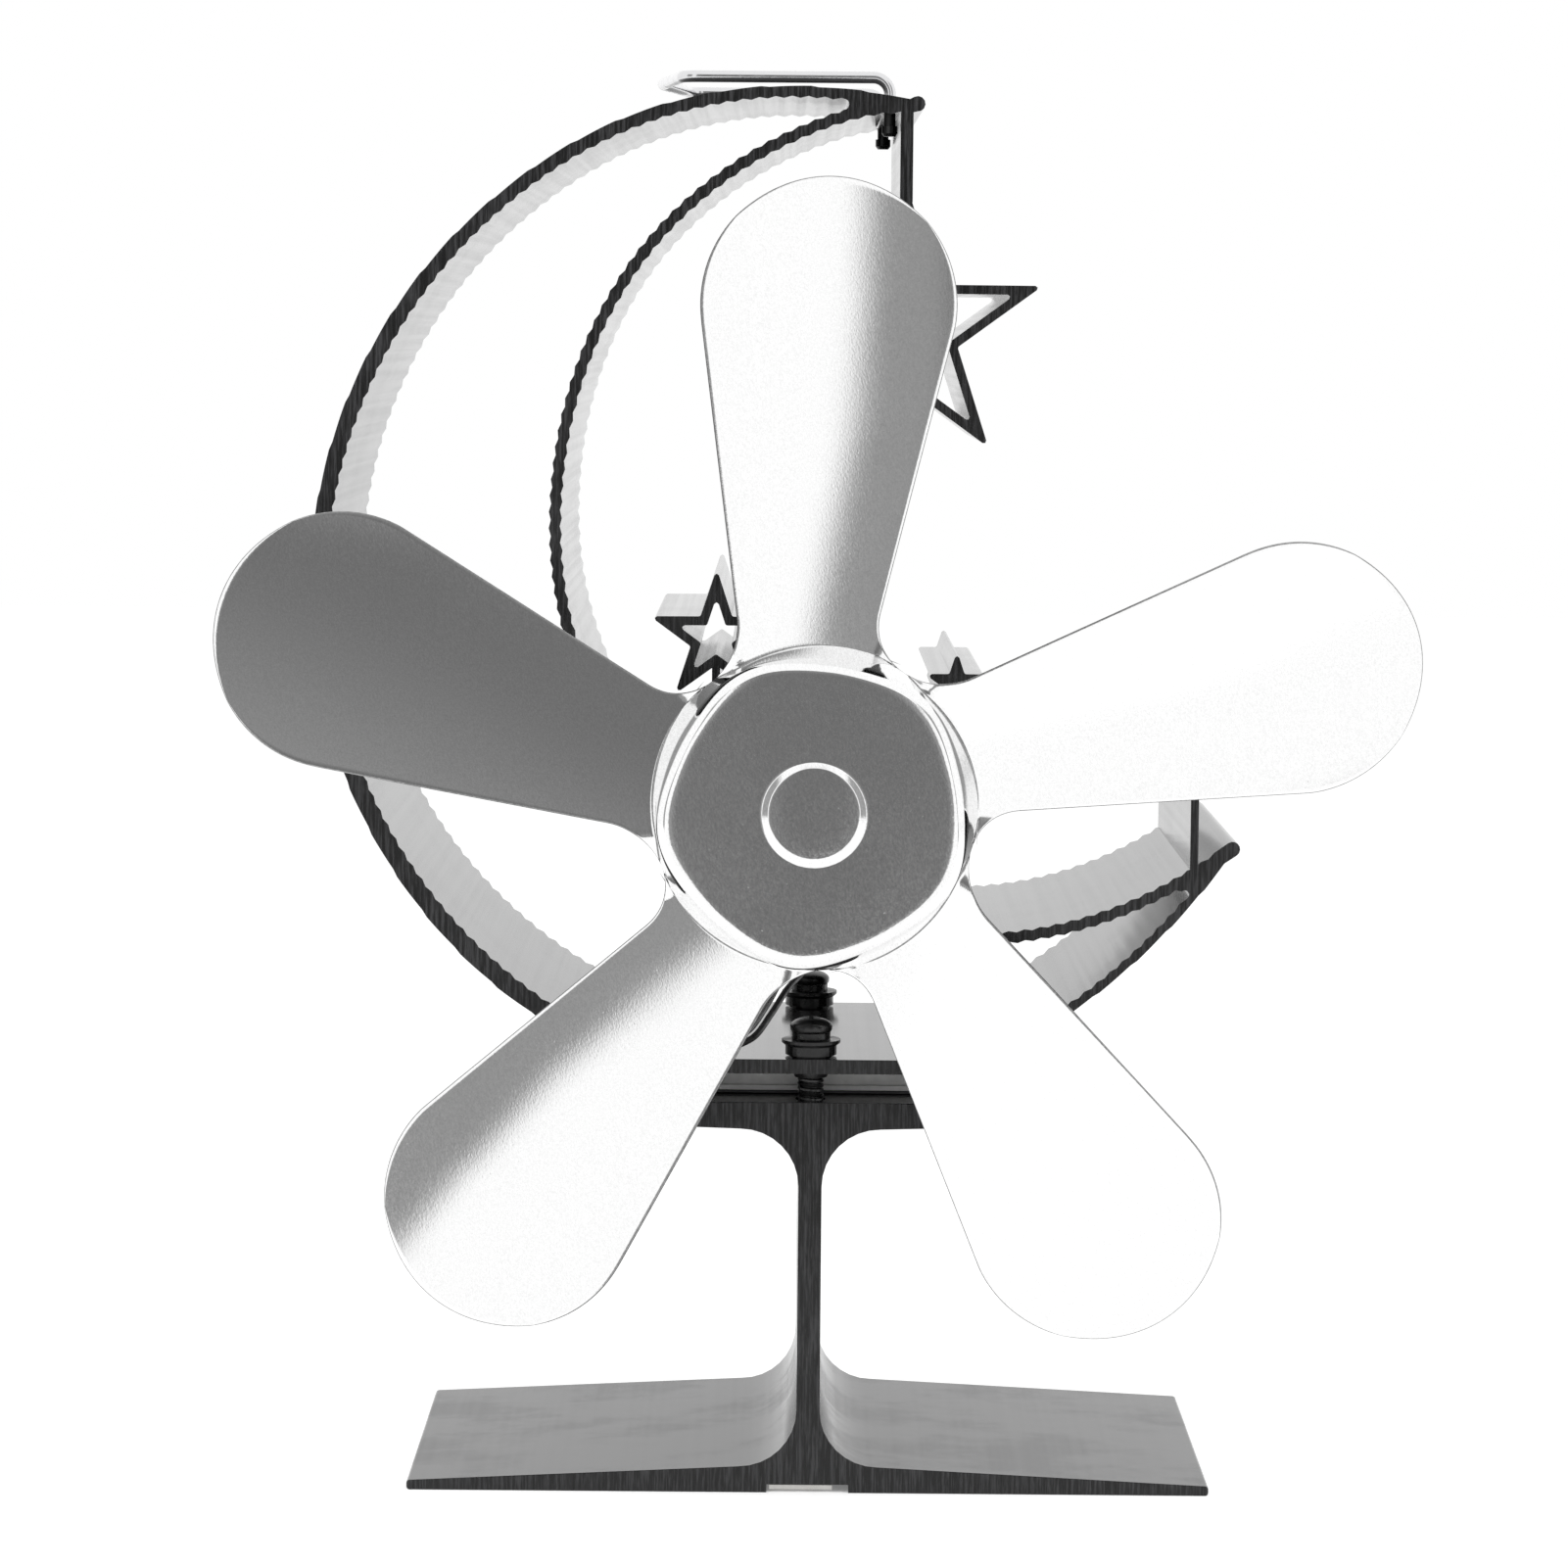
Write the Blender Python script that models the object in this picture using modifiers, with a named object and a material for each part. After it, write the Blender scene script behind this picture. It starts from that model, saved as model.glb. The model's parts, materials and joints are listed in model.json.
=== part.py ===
"""A heat-powered stove fan: an extruded foot, a moon and star heat sink, a thermoelectric module
clamped between them, and a five-bladed rotor on a small motor.

Frame: metres, +Z up, the origin on the stove top under the middle of the fan's width and depth. The
fan faces -Y, and both extrusions run along Y. The pieces are placed about the middle of the foot,
and the last step moves them together, to bring the origin to the middle of the whole depth.
"""

import bpy
import bmesh
from math import atan2, ceil, cos, degrees, pi, radians, sin, sqrt, tan
from mathutils import Matrix, Vector

MM = 0.001

# Fits that all the pieces share
seat_gap = 0.3 * MM                 # between two solids that rest on each other
stack_gap = 0.12 * MM               # between the thin layers of the clamped stack
run_gap = 0.1 * MM                  # between the shaft and what it turns in
cut_overrun = 2.0 * MM              # how far a cutter runs past what it cuts
saw_allowance = 0.5 * MM            # extra length on each blank before the ends are sawn flush
weld_distance = 0.005 * MM          # points closer than this are one point

# The two extrusions
sink_depth = 60.0 * MM
front_y = -sink_depth / 2

# Foot, stem and platform
foot_width = 117.6 * MM
foot_tip_height = 1.45 * MM
foot_tip_round = 0.45 * MM
foot_root_height = 3.85 * MM
stem_thickness = 3.4 * MM
stem_fillet = 8.5 * MM
platform_width = 48.0 * MM
platform_thickness = 3.9 * MM
platform_edge_thickness = 3.5 * MM
platform_edge_round = 0.45 * MM
platform_top = 57.8 * MM
sole_groove_width = 12.0 * MM
sole_groove_height = 1.2 * MM

# Thermoelectric module and its pads
module_inset = 8.5 * MM             # from the ends of the extrusion to the module
module_width = sink_depth - 2 * module_inset
ceramic_thickness = 0.7 * MM
pellet_height = 1.53 * MM
pellet_inset = 1.6 * MM
pad_thickness = 0.3 * MM

# Plate under the moon
plate_thickness = 2.1 * MM
plate_bottom = (platform_top + 2 * pad_thickness + 2 * ceramic_thickness + pellet_height
                + 6 * stack_gap)
plate_top = plate_bottom + plate_thickness

# Outer wall of the moon: shares by angle in degrees, from the low nose round to the top one
moon_radius = 72.0 * MM
moon_off_centre = -0.75 * MM
moon_rise_share = 0.9785            # height of its centre above the plate's underside
moon_x = moon_off_centre
moon_z = plate_bottom + moon_radius * moon_rise_share
moon_radius_shares = ((-31.1, 1.0030), (-36.0, 0.9985), (-45.0, 0.9965), (-57.5, 1.0045),
                      (-72.0, 1.0260), (-108.0, 1.0280), (-126.0, 1.0217), (-150.0, 1.0099),
                      (-170.0, 1.0045), (-194.0, 1.0003), (-212.0, 0.9992), (-230.0, 1.0017),
                      (-248.0, 1.0075), (-262.0, 1.0040), (-272.0, 0.9975), (-278.0, 0.9943),
                      (-282.0, 0.9925))
moon_wall = 2.0 * MM
moon_wall_shares = ((-31.1, 0.68), (-57.5, 0.68), (-90.0, 1.05), (-126.0, 1.37), (-150.0, 1.35),
                    (-194.0, 1.20), (-212.0, 1.12), (-230.0, 1.01), (-248.0, 0.95), (-270.0, 0.80),
                    (-282.0, 0.80))
nose_radius = 1.1 * MM
nose_rise = 0.7 * MM                # how far a nose stands proud of the outer wall
step_pitch = 7.3 * MM               # length of each flat on the outer surface
step_height = 0.16 * MM             # how far the outer surface steps in at the end of a flat

# Inner wall of the moon: its centre and radius as shares of the outer wall's radius
arc_x = moon_x + moon_radius * 0.3229
arc_z = moon_z + moon_radius * 0.1181
arc_radius = moon_radius * 0.8333
arc_radius_shares = ((99.3, 1.0090), (104.0, 1.0200), (116.0, 1.0225), (127.0, 1.0218), (139.0, 1.0178),
                     (151.0, 1.0078), (162.5, 0.9967), (174.0, 0.9883), (192.0, 0.9845), (220.0, 0.9775),
                     (250.0, 0.9722), (280.0, 0.9707), (300.0, 0.9707), (307.6, 0.9735))
arc_wall = 1.6 * MM
ripple_pitch = 2.33 * MM
ripple_height = 0.3 * MM
outline_step = 1.2 * MM             # spacing of the points that follow a plain stretch
cavity_top_angle = -276.0           # where the hollow ends, in degrees round the outer wall
cavity_low_angle = -36.2
cavity_top_gap = 1.3 * MM           # height of the hollow at its two round ends
cavity_low_gap = 1.4 * MM

# Fins and stars
top_fin_back = 1.5 * MM             # from the top nose back to the fin
top_fin_width = 1.82 * MM
big_star_drop = 32.1 * MM           # from the top nose down to the star's middle
big_star_radius = 20.7 * MM
big_star_wall = 1.3 * MM
left_star_rise = 23.4 * MM          # from the fan's axis up to the star's middle
left_star_radius = 10.1 * MM
left_star_wall = 1.3 * MM
small_star_share = 0.2958           # how far right of the moon's centre it stands
small_star_x = moon_x + moon_radius * small_star_share
small_star_rise = 37.0 * MM         # from the inner wall up to the star's middle
low_star_share = 0.7771
low_star_x = moon_x + moon_radius * low_star_share
low_star_rise = 25.0 * MM
small_star_radius = 4.9 * MM
stalk_width = 1.17 * MM
star_notch_share = 0.385            # notch radius as a share of the tip radius
star_tip_round = 0.35 * MM
star_solid_share = 0.9              # how far into a star its stalk and wall surely reach
fillet_reach_share = 0.45           # how much of a side a rounded corner may take

# Motor seat in the heat sink
motor_radius = 12.1 * MM
motor_length = 12.0 * MM
motor_setback = 0.6 * MM            # from the heat sink's front face to the motor's
motor_seat_wall = 2.4 * MM
seat_sink = 1.42 * MM               # how far the seat runs into the moon's inner wall
seat_angle = 240.0                  # where it does, in degrees round that wall
can_wall = 0.5 * MM
can_lip_height = 0.6 * MM
bearing_radius = 2.3 * MM
bearing_length = 3.0 * MM
bearing_proud = 1.0 * MM
shaft_radius = 1.0 * MM
magnet_thickness = 1.7 * MM
magnet_span_share = 0.38            # share of a full turn that each magnet covers
armature_radius = 8.6 * MM
armature_length = 4.6 * MM
armature_slot = 1.4 * MM
armature_slot_depth = 4.6 * MM
commutator_radius = 2.9 * MM
commutator_length = 1.8 * MM
end_cap_thickness = 2.2 * MM
terminal_width = 2.2 * MM
terminal_thickness = 0.5 * MM
terminal_offset = commutator_radius + seat_gap + terminal_thickness / 2
terminal_tail = 3.4 * MM
terminal_slot_gap = 0.25 * MM
brush_reach = 1.6 * MM
lock_screw_radius = 1.4 * MM
lock_screw_length = 2.6 * MM
lock_screw_socket = 0.75 * MM
lock_screw_socket_depth = 1.2 * MM

# Rotor
sheet_thickness = 0.6 * MM
hub_standoff = 20.0 * MM            # from the heat sink's front face to the hub's
hub_face_y = front_y - hub_standoff
hub_face_radius = 19.4 * MM         # at the middle of each blade
hub_corner_rise = 2.0 * MM          # how much farther out the face reaches at its five corners
hub_wall_corner_rise = 1.2 * MM     # the same on the hub's wall
hub_corner_shift_share = 0.17       # how far round each corner lies past the gap, of one blade's turn
hub_wall_draft_share = 0.28         # how much the hub's wall widens as it runs back
hub_bevel_width = 1.6 * MM
hub_bevel_depth = 1.5 * MM
hub_rim_radius = 23.2 * MM
hub_disc_radius = 6.5 * MM
hub_disc_slope = 0.9 * MM
hub_disc_height = 0.35 * MM
blade_count = 5
hub_depth = 8.4 * MM                # from the hub's face back to the blades
blade_plane_y = hub_face_y + hub_depth
blade_root_radius = 24.0 * MM
blade_root_half = 9.5 * MM
blade_tip_centre = 71.3 * MM
blade_tip_radius = 18.05 * MM
blade_pitch_share = 0.153           # how steeply each blade is set, depth over width
blade_camber_radius = 140.0 * MM    # the blade's front face is hollow, with this radius
blade_lean = 1.85 * MM              # how far the root lies anticlockwise of the radius through the tip
blade_turn = radians(1.3)           # the upright blade leans this far clockwise
blade_twist_share = 0.35            # share of a blade's turn in which its pitch fades out at the hub
row_spread_share = 0.9              # how the faces across a blade are spread along its middle
row_bulge_share = 0.12
boss_radius = 3.5 * MM
boss_flange_radius = 6.2 * MM
boss_flange_thickness = 1.0 * MM
boss_length = 13.5 * MM
shaft_front_inset = 2.0 * MM        # from the boss's front face to the end of the shaft

# Clamping screws
screw_inset = 4.0 * MM              # from the ends of the extrusion to the screw's axis
screw_radius = 1.95 * MM
screw_root_radius = 1.6 * MM
screw_tip_radius = 1.3 * MM
screw_pitch = 0.7 * MM
screw_bite = 6.4 * MM               # how far the screw reaches into the platform and stem
screw_head_radius = 3.1 * MM
screw_head_foot_radius = 2.9 * MM
screw_head_height = 2.1 * MM
screw_head_dome = 1.35 * MM         # how much of the head's height is its round top
screw_recess_length = 3.4 * MM
screw_recess_width = 0.8 * MM
screw_recess_depth = 1.1 * MM
bushing_radius = 3.75 * MM
bushing_flange_radius = 4.3 * MM
bushing_flange_thickness = 0.45 * MM
bushing_height = 2.2 * MM
bushing_spigot_radius = 2.9 * MM
bushing_tip_radius = 2.35 * MM
bushing_tip_length = 0.95 * MM
spring_washer_radius = 2.85 * MM
spring_washer_height = 0.9 * MM
spring_washer_slot = 0.5 * MM

# Carrying handle
handle_wire = 1.7 * MM
handle_leg_back = 3.87 * MM         # from the middle of the top nose back to the legs
handle_leg_inset = 6.0 * MM         # from the ends of the extrusion to the legs
handle_leg_y = sink_depth / 2 - handle_leg_inset
handle_reach = 29.6 * MM            # from the legs to the far corners
handle_bow = 3.7 * MM               # how far the far end bows out between its corners
handle_bend = 2.4 * MM              # radius of each bend, on the wire's middle line
handle_above_moon = 0.7 * MM
handle_leg_drop = 3.7 * MM          # from the middle of the top nose down to the legs' ends
handle_hole_gap = 0.3 * MM
handle_cap_radius = 1.15 * MM
handle_cap_end_radius = 0.8 * MM
handle_cap_height = 1.5 * MM
handle_cap_bottom = 0.45 * MM

# Overheat strip under the foot
strip_width = 9.2 * MM
strip_thickness = 0.65 * MM
strip_off_centre = -1.0 * MM
strip_front_inset = 0.5 * MM
strip_back_inset = 3.5 * MM
strip_length = sink_depth - strip_front_inset - strip_back_inset
strip_hinge_inset = 4.5 * MM        # from the strip's back end to its rivet
rivet_radius = 1.5 * MM
rivet_length = 4.0 * MM
rivet_head_radius = 2.3 * MM
rivet_head_height = 0.25 * MM

# Motor leads: the middle of each route, from the front of the module, over the plate's front edge,
# back under the motor and up behind it, in millimetres from the middle of the foot
lead_radius = 0.5 * MM
lead_clearance = 1.1 * MM           # from the heat sink's back face to the leads
lead_steps = 3                      # points between two places of the route
lead_left_route = ((-17.6, -24.0, 59.93), (-17.5, -28.8, 60.1), (-17.1, -31.6, 62.2), (-16.0, -32.3, 64.9),
                  (-13.6, -31.2, 66.6), (-9.4, -26.0, 67.6), (-6.9, -16.0, 69.6), (-4.9, -6.0, 71.9),
                  (-3.6, 2.0, 74.2), (-3.4, 12.0, 76.4), (-3.45, 22.0, 77.6), (-3.45, 28.2, 78.8),
                  (-3.45, 31.3, 82.0), (-3.45, 31.6, 89.0), (-3.45, 31.6, 95.0), (-3.45, 30.3, 100.0),
                  (-3.45, 26.0, 102.0), (-3.45, 14.0, 102.0), (-3.45, 0.0, 102.0))
lead_right_route = ((-14.9, -24.0, 59.93), (-14.8, -28.8, 60.1), (-14.4, -31.6, 62.2), (-13.4, -32.3, 64.6),
                    (-11.6, -31.2, 65.9), (-8.3, -26.0, 66.9), (-5.9, -16.0, 68.8), (-3.5, -6.0, 71.2),
                    (-0.9, 3.0, 72.9), (1.6, 11.0, 74.9), (3.1, 18.0, 76.7), (3.45, 23.5, 77.9),
                    (3.45, 28.2, 79.0), (3.45, 31.3, 82.0), (3.45, 31.6, 89.0), (3.45, 31.6, 95.0),
                    (3.45, 30.3, 100.0), (3.45, 26.0, 102.0), (3.45, 14.0, 102.0), (3.45, 0.0, 102.0))

# How finely round shapes are divided
flat_angle = radians(0.05)
fine_sides = 48
round_sides = 32
small_sides = 16
ridge_sides = 12
hub_columns = 10                    # columns of faces in each blade's share of the hub


def clear_scene():
    """Removes what the scene holds, so the script can be run again."""
    for old in list(bpy.data.objects):
        bpy.data.objects.remove(old, do_unlink=True)
    for old in list(bpy.data.collections):
        bpy.data.collections.remove(old)


def make_collection(name):
    """A new collection under the scene."""
    collection = bpy.data.collections.new(name)
    bpy.context.scene.collection.children.link(collection)
    return collection


def make_material(name, colour, roughness, metallic):
    """A Principled material of one colour."""
    material = bpy.data.materials.new(name)
    material.use_nodes = True
    shader = material.node_tree.nodes["Principled BSDF"]
    shader.inputs["Base Color"].default_value = (*colour, 1.0)
    shader.inputs["Roughness"].default_value = roughness
    shader.inputs["Metallic"].default_value = metallic
    material.diffuse_color = (*colour, 1.0)
    return material


clear_scene()
parts = make_collection("stove_fan")
cutters = make_collection("cutters")

black_anodised = make_material("black_anodised", (0.028, 0.028, 0.030), 0.42, 0.9)
brushed_aluminium = make_material("brushed_aluminium", (0.80, 0.80, 0.80), 0.30, 1.0)
bright_steel = make_material("bright_steel", (0.72, 0.72, 0.72), 0.18, 1.0)
black_steel = make_material("black_steel", (0.03, 0.03, 0.03), 0.35, 0.9)
black_resin = make_material("black_resin", (0.02, 0.02, 0.02), 0.45, 0.0)
white_ceramic = make_material("white_ceramic", (0.62, 0.62, 0.60), 0.55, 0.0)
grey_seal = make_material("grey_seal", (0.35, 0.35, 0.34), 0.6, 0.0)
graphite_pad = make_material("graphite_pad", (0.07, 0.07, 0.07), 0.7, 0.0)
zinc_steel = make_material("zinc_steel", (0.55, 0.56, 0.57), 0.3, 1.0)
magnet_grey = make_material("magnet_grey", (0.12, 0.12, 0.13), 0.5, 0.2)
copper_winding = make_material("copper_winding", (0.60, 0.28, 0.14), 0.4, 1.0)
brass = make_material("brass", (0.70, 0.55, 0.28), 0.3, 1.0)
grey_insulation = make_material("grey_insulation", (0.30, 0.30, 0.30), 0.5, 0.0)
black_insulation = make_material("black_insulation", (0.03, 0.03, 0.03), 0.5, 0.0)
bimetal = make_material("bimetal", (0.60, 0.59, 0.57), 0.35, 1.0)


def link_mesh(name, mesh, collection, material):
    """A new object for a mesh, with one material."""
    thing = bpy.data.objects.new(name, mesh)
    collection.objects.link(thing)
    if material:
        mesh.materials.clear()
        mesh.materials.append(material)
    return thing


def as_cutter(thing):
    """Marks an object as construction only."""
    for owner in list(thing.users_collection):
        owner.objects.unlink(thing)
    cutters.objects.link(thing)
    thing.hide_render = True
    thing.display_type = "WIRE"
    return thing


def smooth(thing, angle=radians(35)):
    """Shades an object smooth, with its corners sharp."""
    thing.data.shade_smooth()
    thing.data.set_sharp_from_angle(angle=angle)
    return thing


def boolean(thing, other, operation):
    """Cuts, joins or trims one object with another."""
    modifier = thing.modifiers.new(operation.lower(), "BOOLEAN")
    modifier.operation = operation
    modifier.object = other
    modifier.solver = "EXACT"
    return thing


def box(name, low, high, material=None, collection=None):
    """A box between two corners."""
    size = [b - a for a, b in zip(low, high)]
    middle = [(a + b) / 2 for a, b in zip(low, high)]
    bpy.ops.mesh.primitive_cube_add(size=1, location=middle)
    thing = bpy.context.object
    for owner in list(thing.users_collection):
        owner.objects.unlink(thing)
    (collection or parts).objects.link(thing)
    thing.name = name
    thing.data.transform(Matrix.Diagonal((*size, 1.0)))
    if material:
        thing.data.materials.append(material)
    return thing


def rod(name, start, end, radius, sides=round_sides, material=None, collection=None):
    """A round rod from one point to another."""
    start, end = Vector(start), Vector(end)
    bpy.ops.mesh.primitive_cylinder_add(vertices=sides, radius=radius, depth=(end - start).length,
                                        location=(start + end) / 2)
    thing = bpy.context.object
    for owner in list(thing.users_collection):
        owner.objects.unlink(thing)
    (collection or parts).objects.link(thing)
    thing.name = name
    thing.rotation_euler = (end - start).to_track_quat("Z", "Y").to_euler()
    if material:
        thing.data.materials.append(material)
    return smooth(thing)


def turned(name, profile, location, axis, sides, material, collection=None):
    """A turned piece: (radius, height) pairs down its outer side, spun about its axis. A profile that
    starts off the axis is a closed ring."""
    mesh = bpy.data.meshes.new(name)
    points = [(radius, 0.0, height) for radius, height in profile]
    edges = [(i, i + 1) for i in range(len(points) - 1)]
    if profile[0][0] > 0:
        edges.append((len(points) - 1, 0))
    mesh.from_pydata(points, edges, [])
    thing = link_mesh(name, mesh, collection or parts, material)
    spin = thing.modifiers.new("spin", "SCREW")
    spin.axis = "Z"
    spin.steps = sides
    spin.render_steps = sides
    spin.use_merge_vertices = True
    spin.merge_threshold = weld_distance
    spin.use_smooth_shade = True
    thing.location = location
    thing.rotation_euler = Vector(axis).to_track_quat("Z", "Y").to_euler()
    return thing


def baked(thing, material=None):
    """Turns an object and its modifiers into one plain mesh object of the same name and place."""
    graph = bpy.context.evaluated_depsgraph_get()
    mesh = bpy.data.meshes.new_from_object(thing.evaluated_get(graph))
    name = thing.name
    place = thing.matrix_world.copy()
    owner = thing.users_collection[0]
    bpy.data.objects.remove(thing, do_unlink=True)
    welded = bmesh.new()
    welded.from_mesh(mesh)
    bmesh.ops.remove_doubles(welded, verts=welded.verts, dist=weld_distance)
    bmesh.ops.dissolve_limit(welded, angle_limit=flat_angle, verts=welded.verts, edges=welded.edges)
    bmesh.ops.recalc_face_normals(welded, faces=welded.faces)
    welded.to_mesh(mesh)
    welded.free()
    fresh = link_mesh(name, mesh, owner, material)
    fresh.matrix_world = place
    return fresh


def extrusion(name, loops, half_length, middle_y=0.0, material=None, collection=None):
    """A flat outline in X and Z, with holes where loops lie in loops, drawn out along Y."""
    curve = bpy.data.curves.new(name, "CURVE")
    curve.dimensions = "2D"
    curve.fill_mode = "BOTH"
    curve.extrude = half_length
    for loop in loops:
        spline = curve.splines.new("POLY")
        spline.points.add(len(loop) - 1)
        for point, (x, z) in zip(spline.points, loop):
            point.co = (x, z, 0.0, 1.0)
        spline.use_cyclic_u = True
    thing = bpy.data.objects.new(name, curve)
    (collection or parts).objects.link(thing)
    thing.location = (0.0, middle_y, 0.0)
    thing.rotation_euler = (pi / 2, 0.0, 0.0)
    bpy.context.view_layer.update()
    return smooth(baked(thing, material), radians(30))


def polar(centre, radius, angle):
    """The point at a radius and an angle from a centre."""
    return (centre[0] + radius * cos(angle), centre[1] + radius * sin(angle))


def arc(centre, radius, start, end, steps):
    """Points along a round arc, both ends among them."""
    return [polar(centre, radius, start + (end - start) * i / steps) for i in range(steps + 1)]


def read_table(table, angle):
    """The share at an angle, on a smooth curve through a table of (degrees, share)."""
    rows = sorted(table)
    if angle <= rows[0][0]:
        return rows[0][1]
    if angle >= rows[-1][0]:
        return rows[-1][1]
    at = max(i for i, row in enumerate(rows) if row[0] <= angle)
    before, low = rows[max(at - 1, 0)], rows[at]
    high, after = rows[at + 1], rows[min(at + 2, len(rows) - 1)]
    span = high[0] - low[0]
    slope_low = (high[1] - before[1]) / (high[0] - before[0])
    slope_high = (after[1] - low[1]) / (after[0] - low[0])
    t = (angle - low[0]) / span
    return ((2 * t ** 3 - 3 * t ** 2 + 1) * low[1] + (t ** 3 - 2 * t ** 2 + t) * span * slope_low
            + (3 * t ** 2 - 2 * t ** 3) * high[1] + (t ** 3 - t ** 2) * span * slope_high)


def fillet(points, radius, steps=2):
    """A closed outline with each corner rounded."""
    rounded = []
    for i, corner in enumerate(points):
        here = Vector(corner)
        back = (Vector(points[i - 1]) - here)
        ahead = (Vector(points[(i + 1) % len(points)]) - here)
        half = back.angle(ahead) / 2
        reach = min(radius / tan(half), back.length * fillet_reach_share, ahead.length * fillet_reach_share)
        bend = reach * tan(half)
        middle = here + (back.normalized() + ahead.normalized()).normalized() * (bend / sin(half))
        first = here + back.normalized() * reach - middle
        last = here + ahead.normalized() * reach - middle
        start = atan2(first.y, first.x)
        turn = (atan2(last.y, last.x) - start + pi) % (2 * pi) - pi
        rounded += [polar(middle, bend, start + turn * k / steps) for k in range(steps + 1)]
    return rounded


def star(centre, radius):
    """A five-pointed star's outline, one point up."""
    corners = []
    for i in range(10):
        reach = radius if i % 2 == 0 else radius * star_notch_share
        corners.append(polar(centre, reach, pi / 2 + i * pi / 5))
    return fillet(corners, star_tip_round)


def star_window(centre, radius, wall):
    """The outline of the star-shaped hole that leaves a wall of one thickness."""
    edge_distance = radius * star_notch_share * sin(pi / 5 + atan2(
        star_notch_share * sin(pi / 5), 1 - star_notch_share * cos(pi / 5)))
    return star(centre, radius * (edge_distance - wall) / edge_distance)


def build_base_foot():
    """The foot, stem and platform, one extrusion."""
    half_foot = foot_width / 2
    half_stem = stem_thickness / 2
    half_platform = platform_width / 2
    half_groove = sole_groove_width / 2
    platform_bottom = platform_top - platform_thickness
    fillet_x = half_stem + stem_fillet
    tip_x = half_foot - foot_tip_round
    edge_x = half_platform - platform_edge_round
    edge_bottom = platform_top - platform_edge_thickness + platform_edge_round
    right = [(half_groove, sole_groove_height), (half_groove, 0.0)]
    right += arc((tip_x, foot_tip_round), foot_tip_round, -pi / 2, 0.0, 3)
    right += arc((tip_x, foot_tip_height - foot_tip_round), foot_tip_round, 0.0, pi / 2, 3)
    right += arc((fillet_x, foot_root_height + stem_fillet), stem_fillet, -pi / 2, -pi, 8)
    right += arc((fillet_x, platform_bottom - stem_fillet), stem_fillet, pi, pi / 2, 8)
    right += arc((edge_x, edge_bottom), platform_edge_round, -pi / 2, 0.0, 3)
    right += arc((edge_x, platform_top - platform_edge_round), platform_edge_round, 0.0, pi / 2, 3)
    left = [(-x, z) for x, z in reversed(right)]
    foot = extrusion("base_foot", [right + left], sink_depth / 2, material=black_anodised)
    for end in (-1, 1):
        y = end * (sink_depth / 2 - screw_inset)
        hole = rod("screw_hole", (0, y, platform_top - screw_bite - seat_gap),
                   (0, y, platform_top + cut_overrun), screw_radius + seat_gap, small_sides)
        boolean(foot, as_cutter(hole), "DIFFERENCE")
    rivet_y = front_y + strip_front_inset + strip_length - strip_hinge_inset
    socket = rod("rivet_socket", (strip_off_centre, rivet_y, -cut_overrun),
                 (strip_off_centre, rivet_y, sole_groove_height + rivet_length),
                 rivet_radius + seat_gap, small_sides)
    boolean(foot, as_cutter(socket), "DIFFERENCE")
    return foot


def moon_edge(angle):
    """The outer wall's outer edge, without its steps, at an angle in degrees."""
    return moon_radius * read_table(moon_radius_shares, angle)


def moon_inner_edge(angle):
    """The outer wall's inner edge, without its ripples."""
    return moon_edge(angle) - moon_wall * read_table(moon_wall_shares, angle)


def arc_edge(angle):
    """The inner wall's hollow side, without its ripples."""
    return arc_radius * read_table(arc_radius_shares, angle)


def arc_outer_edge(angle):
    """The inner wall's other side."""
    return arc_edge(angle) + arc_wall


def along(centre, edge, start, end, pitch, wave):
    """Points along an edge, from one angle to another in degrees, moved out by wave(index)."""
    middle_radius = edge((start + end) / 2)
    count = max(2, ceil(abs(radians(end - start)) * middle_radius / pitch))
    points = []
    for i in range(count + 1):
        angle = start + (end - start) * i / count
        points.append(polar(centre, edge(angle) + wave(i), radians(angle)))
    return points


seat_outer_radius = motor_radius + seat_gap + motor_seat_wall
axis_z = arc_z - sqrt((arc_edge(seat_angle) + seat_sink - seat_outer_radius) ** 2 - arc_x ** 2)


def ripple(i):
    """The fine ribbing of the walls, a crest and a trough in turn."""
    return ripple_height / 2 if i % 2 else -ripple_height / 2


def steps_of(i):
    """The outer surface's flats, each stepping in at its end."""
    per_step = max(2, round(step_pitch / outline_step))
    return -step_height * (i % per_step) / (per_step - 1)


def above(points, floor):
    """The points that lie above a floor, and the places where their line crosses it."""
    kept = []
    for before, after in zip(points, points[1:]):
        if before[1] > floor:
            kept.append(before)
        if (before[1] > floor) != (after[1] > floor):
            share = (floor - before[1]) / (after[1] - before[1])
            kept.append((before[0] + (after[0] - before[0]) * share, floor))
    return kept + [points[-1]]


def nose_centre(angle):
    """The middle of a nose's round end, at the outer wall's end angle."""
    return polar((moon_x, moon_z), moon_edge(angle) + nose_rise - nose_radius, radians(angle))


def moon_outline():
    """The crescent's outline, with its plate along the bottom and a round nose at each end."""
    moon = (moon_x, moon_z)
    hollow = (arc_x, arc_z)
    top_end, low_end = moon_radius_shares[-1][0], moon_radius_shares[0][0]
    hollow_start, hollow_end = arc_radius_shares[0][0], arc_radius_shares[-1][0]
    outer = above(along(moon, moon_edge, top_end + 1.0, low_end - 1.9, outline_step, steps_of), plate_bottom)
    inner = along(hollow, arc_edge, hollow_end, hollow_start, ripple_pitch / 2, ripple)
    low_nose = arc(nose_centre(low_end), nose_radius, radians(-55), radians(125), 7)
    top_nose = arc(nose_centre(top_end), nose_radius, radians(-95), radians(115), 7)
    return outer + low_nose + inner + top_nose


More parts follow.
